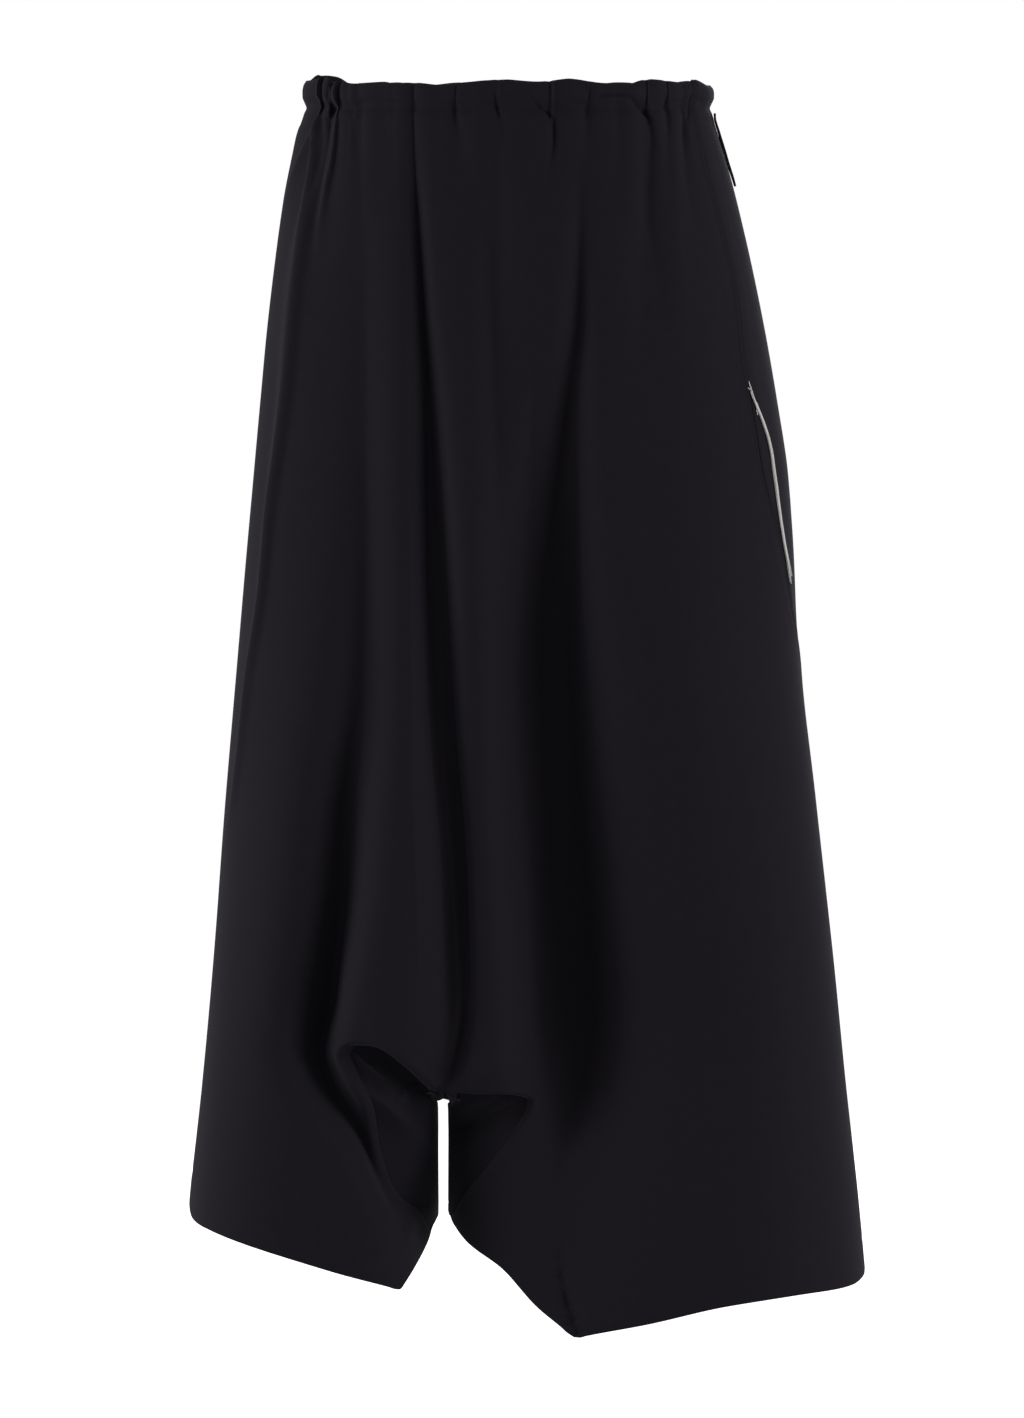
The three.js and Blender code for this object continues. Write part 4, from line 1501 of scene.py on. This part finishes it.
def seamDepth(name, points, t):
    # the stitched line lies lower, and the allowances pressed open inside lift its two sides
    across = runLength(points, 1)
    depth = np.zeros(points.shape[:2])
    if name == "front_long_leg":
        # the front's side edge is pressed over the back's
        depth -= seams["edge"] * np.exp(-(((across - 1.5) / 1.1) ** 2))
    # the seam inside the legs lies flatter
    inner = mix(1, 0.35, ease(0.9, 1.1, t))
    for away, full in ((across, 1), (across[:, -1:] - across, inner)):
        depth += full * seams["groove"] * np.exp(-((away / seams["width"]) ** 2))
        lifted = 1 - ease(seams["allowance"] - 2, seams["allowance"] + 1.5, away)
        depth -= full * seams["press"] * lifted * ease(0, 3, away)
    return depth


def hemDepth(points):
    # blind stitches catch the turned-up hem in a faint dotted line
    down = runLength(points, 0)
    above = down[-1:] - down
    along = runLength(points, 1)[-1:]
    dots = 0.5 + 0.5 * np.cos(2 * math.pi * along / hems["stitchPitch"])
    line = np.exp(-(((above - hems["stitchAbove"]) / 1.6) ** 2))
    uneven = 0.6 + 0.4 * np.sin(along / 31 + 1.4)
    return hems["stitchDeep"] * uneven * line * (0.35 + 0.65 * dots ** 2)


names = list(panels)
groups = [(grids[name][0], outwardOf(name)) for name in names]
shapes = {}
for name, normal in zip(names, sharedNormals(groups)):
    points, t, u = grids[name]
    depth = detailDepth(name, points, u) + seamDepth(name, points, t)
    depth = depth + lipDepth(name, points, t) + hemDepth(points)
    shapes[name] = points - normal * depth[..., None]
print("folds, seams and hems pressed in")


def withHem(points, normal):
    # the hem's last rows turned up inside
    turned = []
    for k in range(1, hems["turn"] + 1):
        inside = hems["gap"] * ease(-0.5, 2, k)
        turned.append(points[-1 - k] - normal[-1 - k] * inside)
    return np.concatenate([points, np.array(turned)])


def pulledBack(points, pull):
    # both side edges stand back from their seams, within the cloth
    moved = points.copy()
    moved[:, 0] += unit(points[:, 1] - points[:, 0]) * pull[:, None]
    moved[:, -1] += unit(points[:, -2] - points[:, -1]) * weave["seamGap"] / 2
    return moved


def sidePull(name, points):
    # the pocket mouth on the long leg's side stands open a little
    z = points[:, 0, 2]
    gap = weave["seamGap"] / 2 * np.ones_like(z)
    if panels[name].leg is not longLeg:
        return gap
    inside = ease(form["pocketBottom"], form["pocketBottom"] + 14, z)
    inside = inside * (1 - ease(form["pocketTop"] - 12, form["pocketTop"], z))
    return gap + pocket["open"] * inside


# The side-seam pocket, which shows as a slit with its facing behind
pocket = {
    "open": 0.9,  # mm that each edge stands back from the slit's middle
    "facingWide": 12,  # on each side of the seam
    "facingThick": 0.9,
    "inset": 1.9,  # from the panels' middle to the facing's
    "flat": (0.026, 0.162),  # the piece as cut, in metres
    "area": 0.0039,
}


def acrossSeam(row, reaches):
    # points across the long leg's side seam on one row, the front panel's side first
    places = []
    for reach in reaches:
        points = shapes["front_long_leg" if reach < 0 else "back_long_leg"][row]
        run = runLength(points[None], 1)[0]
        places.append([np.interp(abs(reach), run, points[:, k]) for k in range(3)])
    return np.array(places)


def makeFacing():
    level = shapes["front_long_leg"][:, 0, 2]
    rows = np.where((level < form["pocketTop"] + 8) & (level > form["pocketBottom"] - 10))[0]
    reaches = np.linspace(-pocket["facingWide"], pocket["facingWide"], 17)
    points = np.array([acrossSeam(row, reaches) for row in rows])
    normal = sharedNormals([(points, -1)])[0]
    points = points - normal * pocket["inset"]
    made = shell("pocket_facing_cloth", points, normal, pocket["facingThick"], -1, materials["wool"])
    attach(made, "root")
    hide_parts("pocket_facing")
    return made


# Each panel finished, with its hem turned up inside. Each panel's cut, estimated: width, length and its
# own area. Its widest row here is up to about a quarter wider than the cut, and its inner edge up to
# two fifths longer.
groups = []
for name, normal in zip(names, sharedNormals([(shapes[name], outwardOf(name)) for name in names])):
    groups.append((withHem(shapes[name], normal), outwardOf(name)))
finished = {}
for name, (points, outward), normal in zip(names, groups, sharedNormals(groups)):
    drawn = pulledBack(points, sidePull(name, points))
    finished[name] = (points, normal)
    made = shell(name + "_cloth", drawn, normal, weave["thick"], outward, materials["wool"])
    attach(made, "root")
    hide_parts(name)
makeFacing()
print("panels and pocket facing made")


# The waistband is a strip of the same wool, folded over the elastic and gathered
band = {
    "thick": 0.8,
    "each": 2,  # columns of the band to one of the panels
    "rowsOutside": 25,
    "rowsInside": 10,
    "eased": 0.6,
    "flat": (0.95, 0.056),  # the strip as cut, in metres
    "area": 0.0532,
}
# Both layers of the folded strip, by how far they stand out from the panels' top edge
bandProfile = curves("rise z outer inner", [
    [0, -12.45, 0.05, -1.9],
    [0.12, -9.5, -0.9, -2.7],
    [0.27, -5.6, -2.5, -3.9],
    [0.4, -2, -1.3, -3.9],
    [0.55, 2, 0.2, -3.2],
    [0.72, 6, 0.3, -3],
    [0.88, 10, -0.4, -3],
    [1, 12.4, -1.8, -2.9],
])
# How much the top edge stands above or below the band's own height, in front and behind
frontEdge = curves("x lift", [
    [-142, 0.2],
    [-135, 0.6],
    [-128, 1.8],
    [-121, -0.2],
    [-108, -2.2],
    [-87, -2.8],
    [-67, -2.2],
    [-46, -3.6],
    [-26, -1.6],
    [-2, -0.2],
    [22, -1.6],
    [42, 0.5],
    [63, -2.2],
    [83, -2.9],
    [97, 0.5],
    [124, -1.6],
    [131, 0.5],
    [140, -3],
]).lift
backEdge = curves("x lift", [
    [-142, 0.2],
    [-135, 5],
    [-124, 4],
    [-112, -0.5],
    [-86, 0.8],
    [-60, -1.5],
    [-32, 0.6],
    [-8, -1.2],
    [20, 1],
    [52, -1.8],
    [80, 0.4],
    [108, -1.2],
    [128, 0.8],
    [140, -3],
]).lift


def ringPoints():
    # the panels' top edges in turn, as one ring round the waist, and every second point between,
    # with the depth of the gathers there as a fourth value
    ring = []
    for name in ("front_short_leg", "front_long_leg", "back_long_leg", "back_short_leg"):
        panel = panels[name]
        u = grids[name][2][0]
        gather = gatherDepth(panel, u, np.full_like(u, -form["waistDrop"]))
        top = np.concatenate([shapes[name][0], gather[:, None]], 1)
        forward = name in ("front_short_leg", "back_long_leg")
        ring.append((top if forward else top[::-1])[:-1])
    ring = np.concatenate(ring)
    after = np.roll(ring, -1, 0)
    shares = np.arange(band["each"]) / band["each"]
    return np.concatenate([mix(ring, after, share)[:, None] for share in shares], 1).reshape(-1, 4)


# Short folds lying along the band, where the cloth above the elastic tips over
sagTable = [
    # from, to, rise, deep
    [58, 86, 0.5, 2],
    [116, 136, 0.42, 1.5],
    [-104, -74, 0.38, 0.7],
    [-60, -40, 0.5, 0.8],
    [-4, 18, 0.5, 1.1],
    [-141, -128, 0.34, 1],
]


def sagDepth(x, rise):
    deep = 0
    for start, stop, height, depth in sagTable:
        across = ease(start - 4, start + 6, x) * (1 - ease(stop - 6, stop + 4, x))
        middle = height + 0.1 * np.sin(math.pi * (x - start) / (stop - start))
        deep = deep + depth * across * np.exp(-((rise - middle) / 0.07) ** 2)
    return deep


def makeBand():
    ring = ringPoints()
    gather = ring[:, 3][None]
    ring = ring[:, :3]
    along = unit((np.roll(ring, -3, 0) - np.roll(ring, 3, 0)) * [1, 1, 0])
    out = np.stack([along[:, 1], -along[:, 0], 0 * along[:, 0]], -1)
    # up the outside, over the top and down the inside
    up = np.linspace(0, 1, band["rowsOutside"])
    over = np.array([0.2, 0.5, 0.8])
    down = np.linspace(1, 0, band["rowsInside"])
    inside = np.concatenate([0 * up, over, 0 * down + 1])[:, None]
    climb = np.concatenate([up, 0 * over + 1, down])[:, None]
    crown = np.concatenate([0 * up, [0.5, 0.7, 0.5], 0 * down])[:, None]
    x, y, level = [ring[:, k][None] for k in range(3)]
    front = y < 0
    edges = np.where(front, frontEdge(x), backEdge(x))
    z = level + form["waistDrop"] + bandProfile.z(climb) + crown + edges * climb ** 2.5
    deep = [smallDepth(side, x, y, z) - smallDepth(side, x, y, level) for side in (-1, 1)]
    deep = np.where(front, *deep) + sagDepth(np.where(front, x, -0.9 * x), climb) * (1 - inside)
    # the gathers flatten out as the cloth turns over the elastic
    deep = deep - band["eased"] * gather * ease(0, 0.6, climb)
    offset = mix(bandProfile.outer(climb), bandProfile.inner(climb), inside)
    offset = offset - deep * mix(1, 0.8, inside)
    points = ring[None] + out[None] * offset[..., None]
    points[..., 2] = z
    closed = np.concatenate([points, points[:, :1]], 1)
    normal = sharedNormals([(closed, -1)])[0][:, :-1]
    made = shell("waistband_cloth", points, normal, band["thick"], -1, materials["wool"], loop=True)
    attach(made, "root")
    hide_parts("waistband")
    return made


waistband = makeBand()
print("waistband made")

# Floor and light


def makeFloor():
    # plain white paper, wide enough to meet the white of the studio
    points = np.array([[x, y, -1.02] for y in (-14, 14) for x in (-14, 14)]) / metre
    material, tree = newMaterial("whitePaper")
    paper = node(
        tree,
        "ShaderNodeBsdfPrincipled",
        inputs={
            "Base Color": linear("#f7f7f7"),
            "Roughness": 0.9,
            "Specular IOR Level": 0.2,
            "Emission Color": linear("#ffffff"),
            "Emission Strength": 0.85,
        },
    )
    node(tree, "ShaderNodeOutputMaterial", links={"Surface": paper.outputs["BSDF"]})
    floor = makeMesh("paperFloor", points, quads(2, 2), points[:, :2], material)
    floor.visible_diffuse = False
    floor.visible_glossy = False
    floor.visible_shadow = False
    return floor


def makeLight(name, place, aim, width, height, power):
    data = bpy.data.lights.new(name, "AREA")
    data.shape = "RECTANGLE"
    data.size = width
    data.size_y = height
    data.energy = power
    light = bpy.data.objects.new(name, data)
    light.location = place
    facing = [a - b for a, b in zip(aim, place)]
    light.rotation_euler = Vector(facing).to_track_quat("-Z", "Y").to_euler()
    bpy.context.scene.collection.objects.link(light)
    return light


lights = {
    "ambient": 0.27,
    "left": 15,
    "right": 6,
    "leftFront": 8.5,
    "rightFront": 14,
    "back": 30,
}


def makeWorld():
    world = bpy.data.worlds.new("studio")
    bpy.context.scene.world = world
    world.use_nodes = True
    tree = world.node_tree
    tree.nodes.clear()
    seen = node(tree, "ShaderNodeBackground", inputs={"Strength": 1.0})
    seen.inputs["Color"].default_value = (1, 1, 1, 1)
    around = node(tree, "ShaderNodeBackground", inputs={"Strength": lights["ambient"]})
    around.inputs["Color"].default_value = (1, 1, 1, 1)
    path = node(tree, "ShaderNodeLightPath")
    both = node(
        tree,
        "ShaderNodeMixShader",
        links={0: path.outputs["Is Camera Ray"], 1: around.outputs[0], 2: seen.outputs[0]},
    )
    node(tree, "ShaderNodeOutputWorld", links={"Surface": both.outputs[0]})


makeFloor()
makeWorld()
makeLight("leftSoftbox", (-2.2, -0.45, -0.2), (0, 0, -0.42), 0.8, 1.9, lights["left"])
makeLight("rightSoftbox", (2.1, -0.75, -0.2), (0, 0, -0.42), 0.8, 1.9, lights["right"])
makeLight("leftFrontSoftbox", (-2.05, -1.05, -0.2), (0, 0, -0.42), 0.8, 1.9, lights["leftFront"])
makeLight("rightFrontSoftbox", (2.0, -1.2, -0.2), (0, 0, -0.42), 0.8, 1.9, lights["rightFront"])
makeLight("backSoftbox", (0.4, 3.6, 0.5), (0, 0, -0.42), 2.2, 1.8, lights["back"])
bpy.context.scene.view_settings.view_transform = "Standard"
print("floor and lights placed")
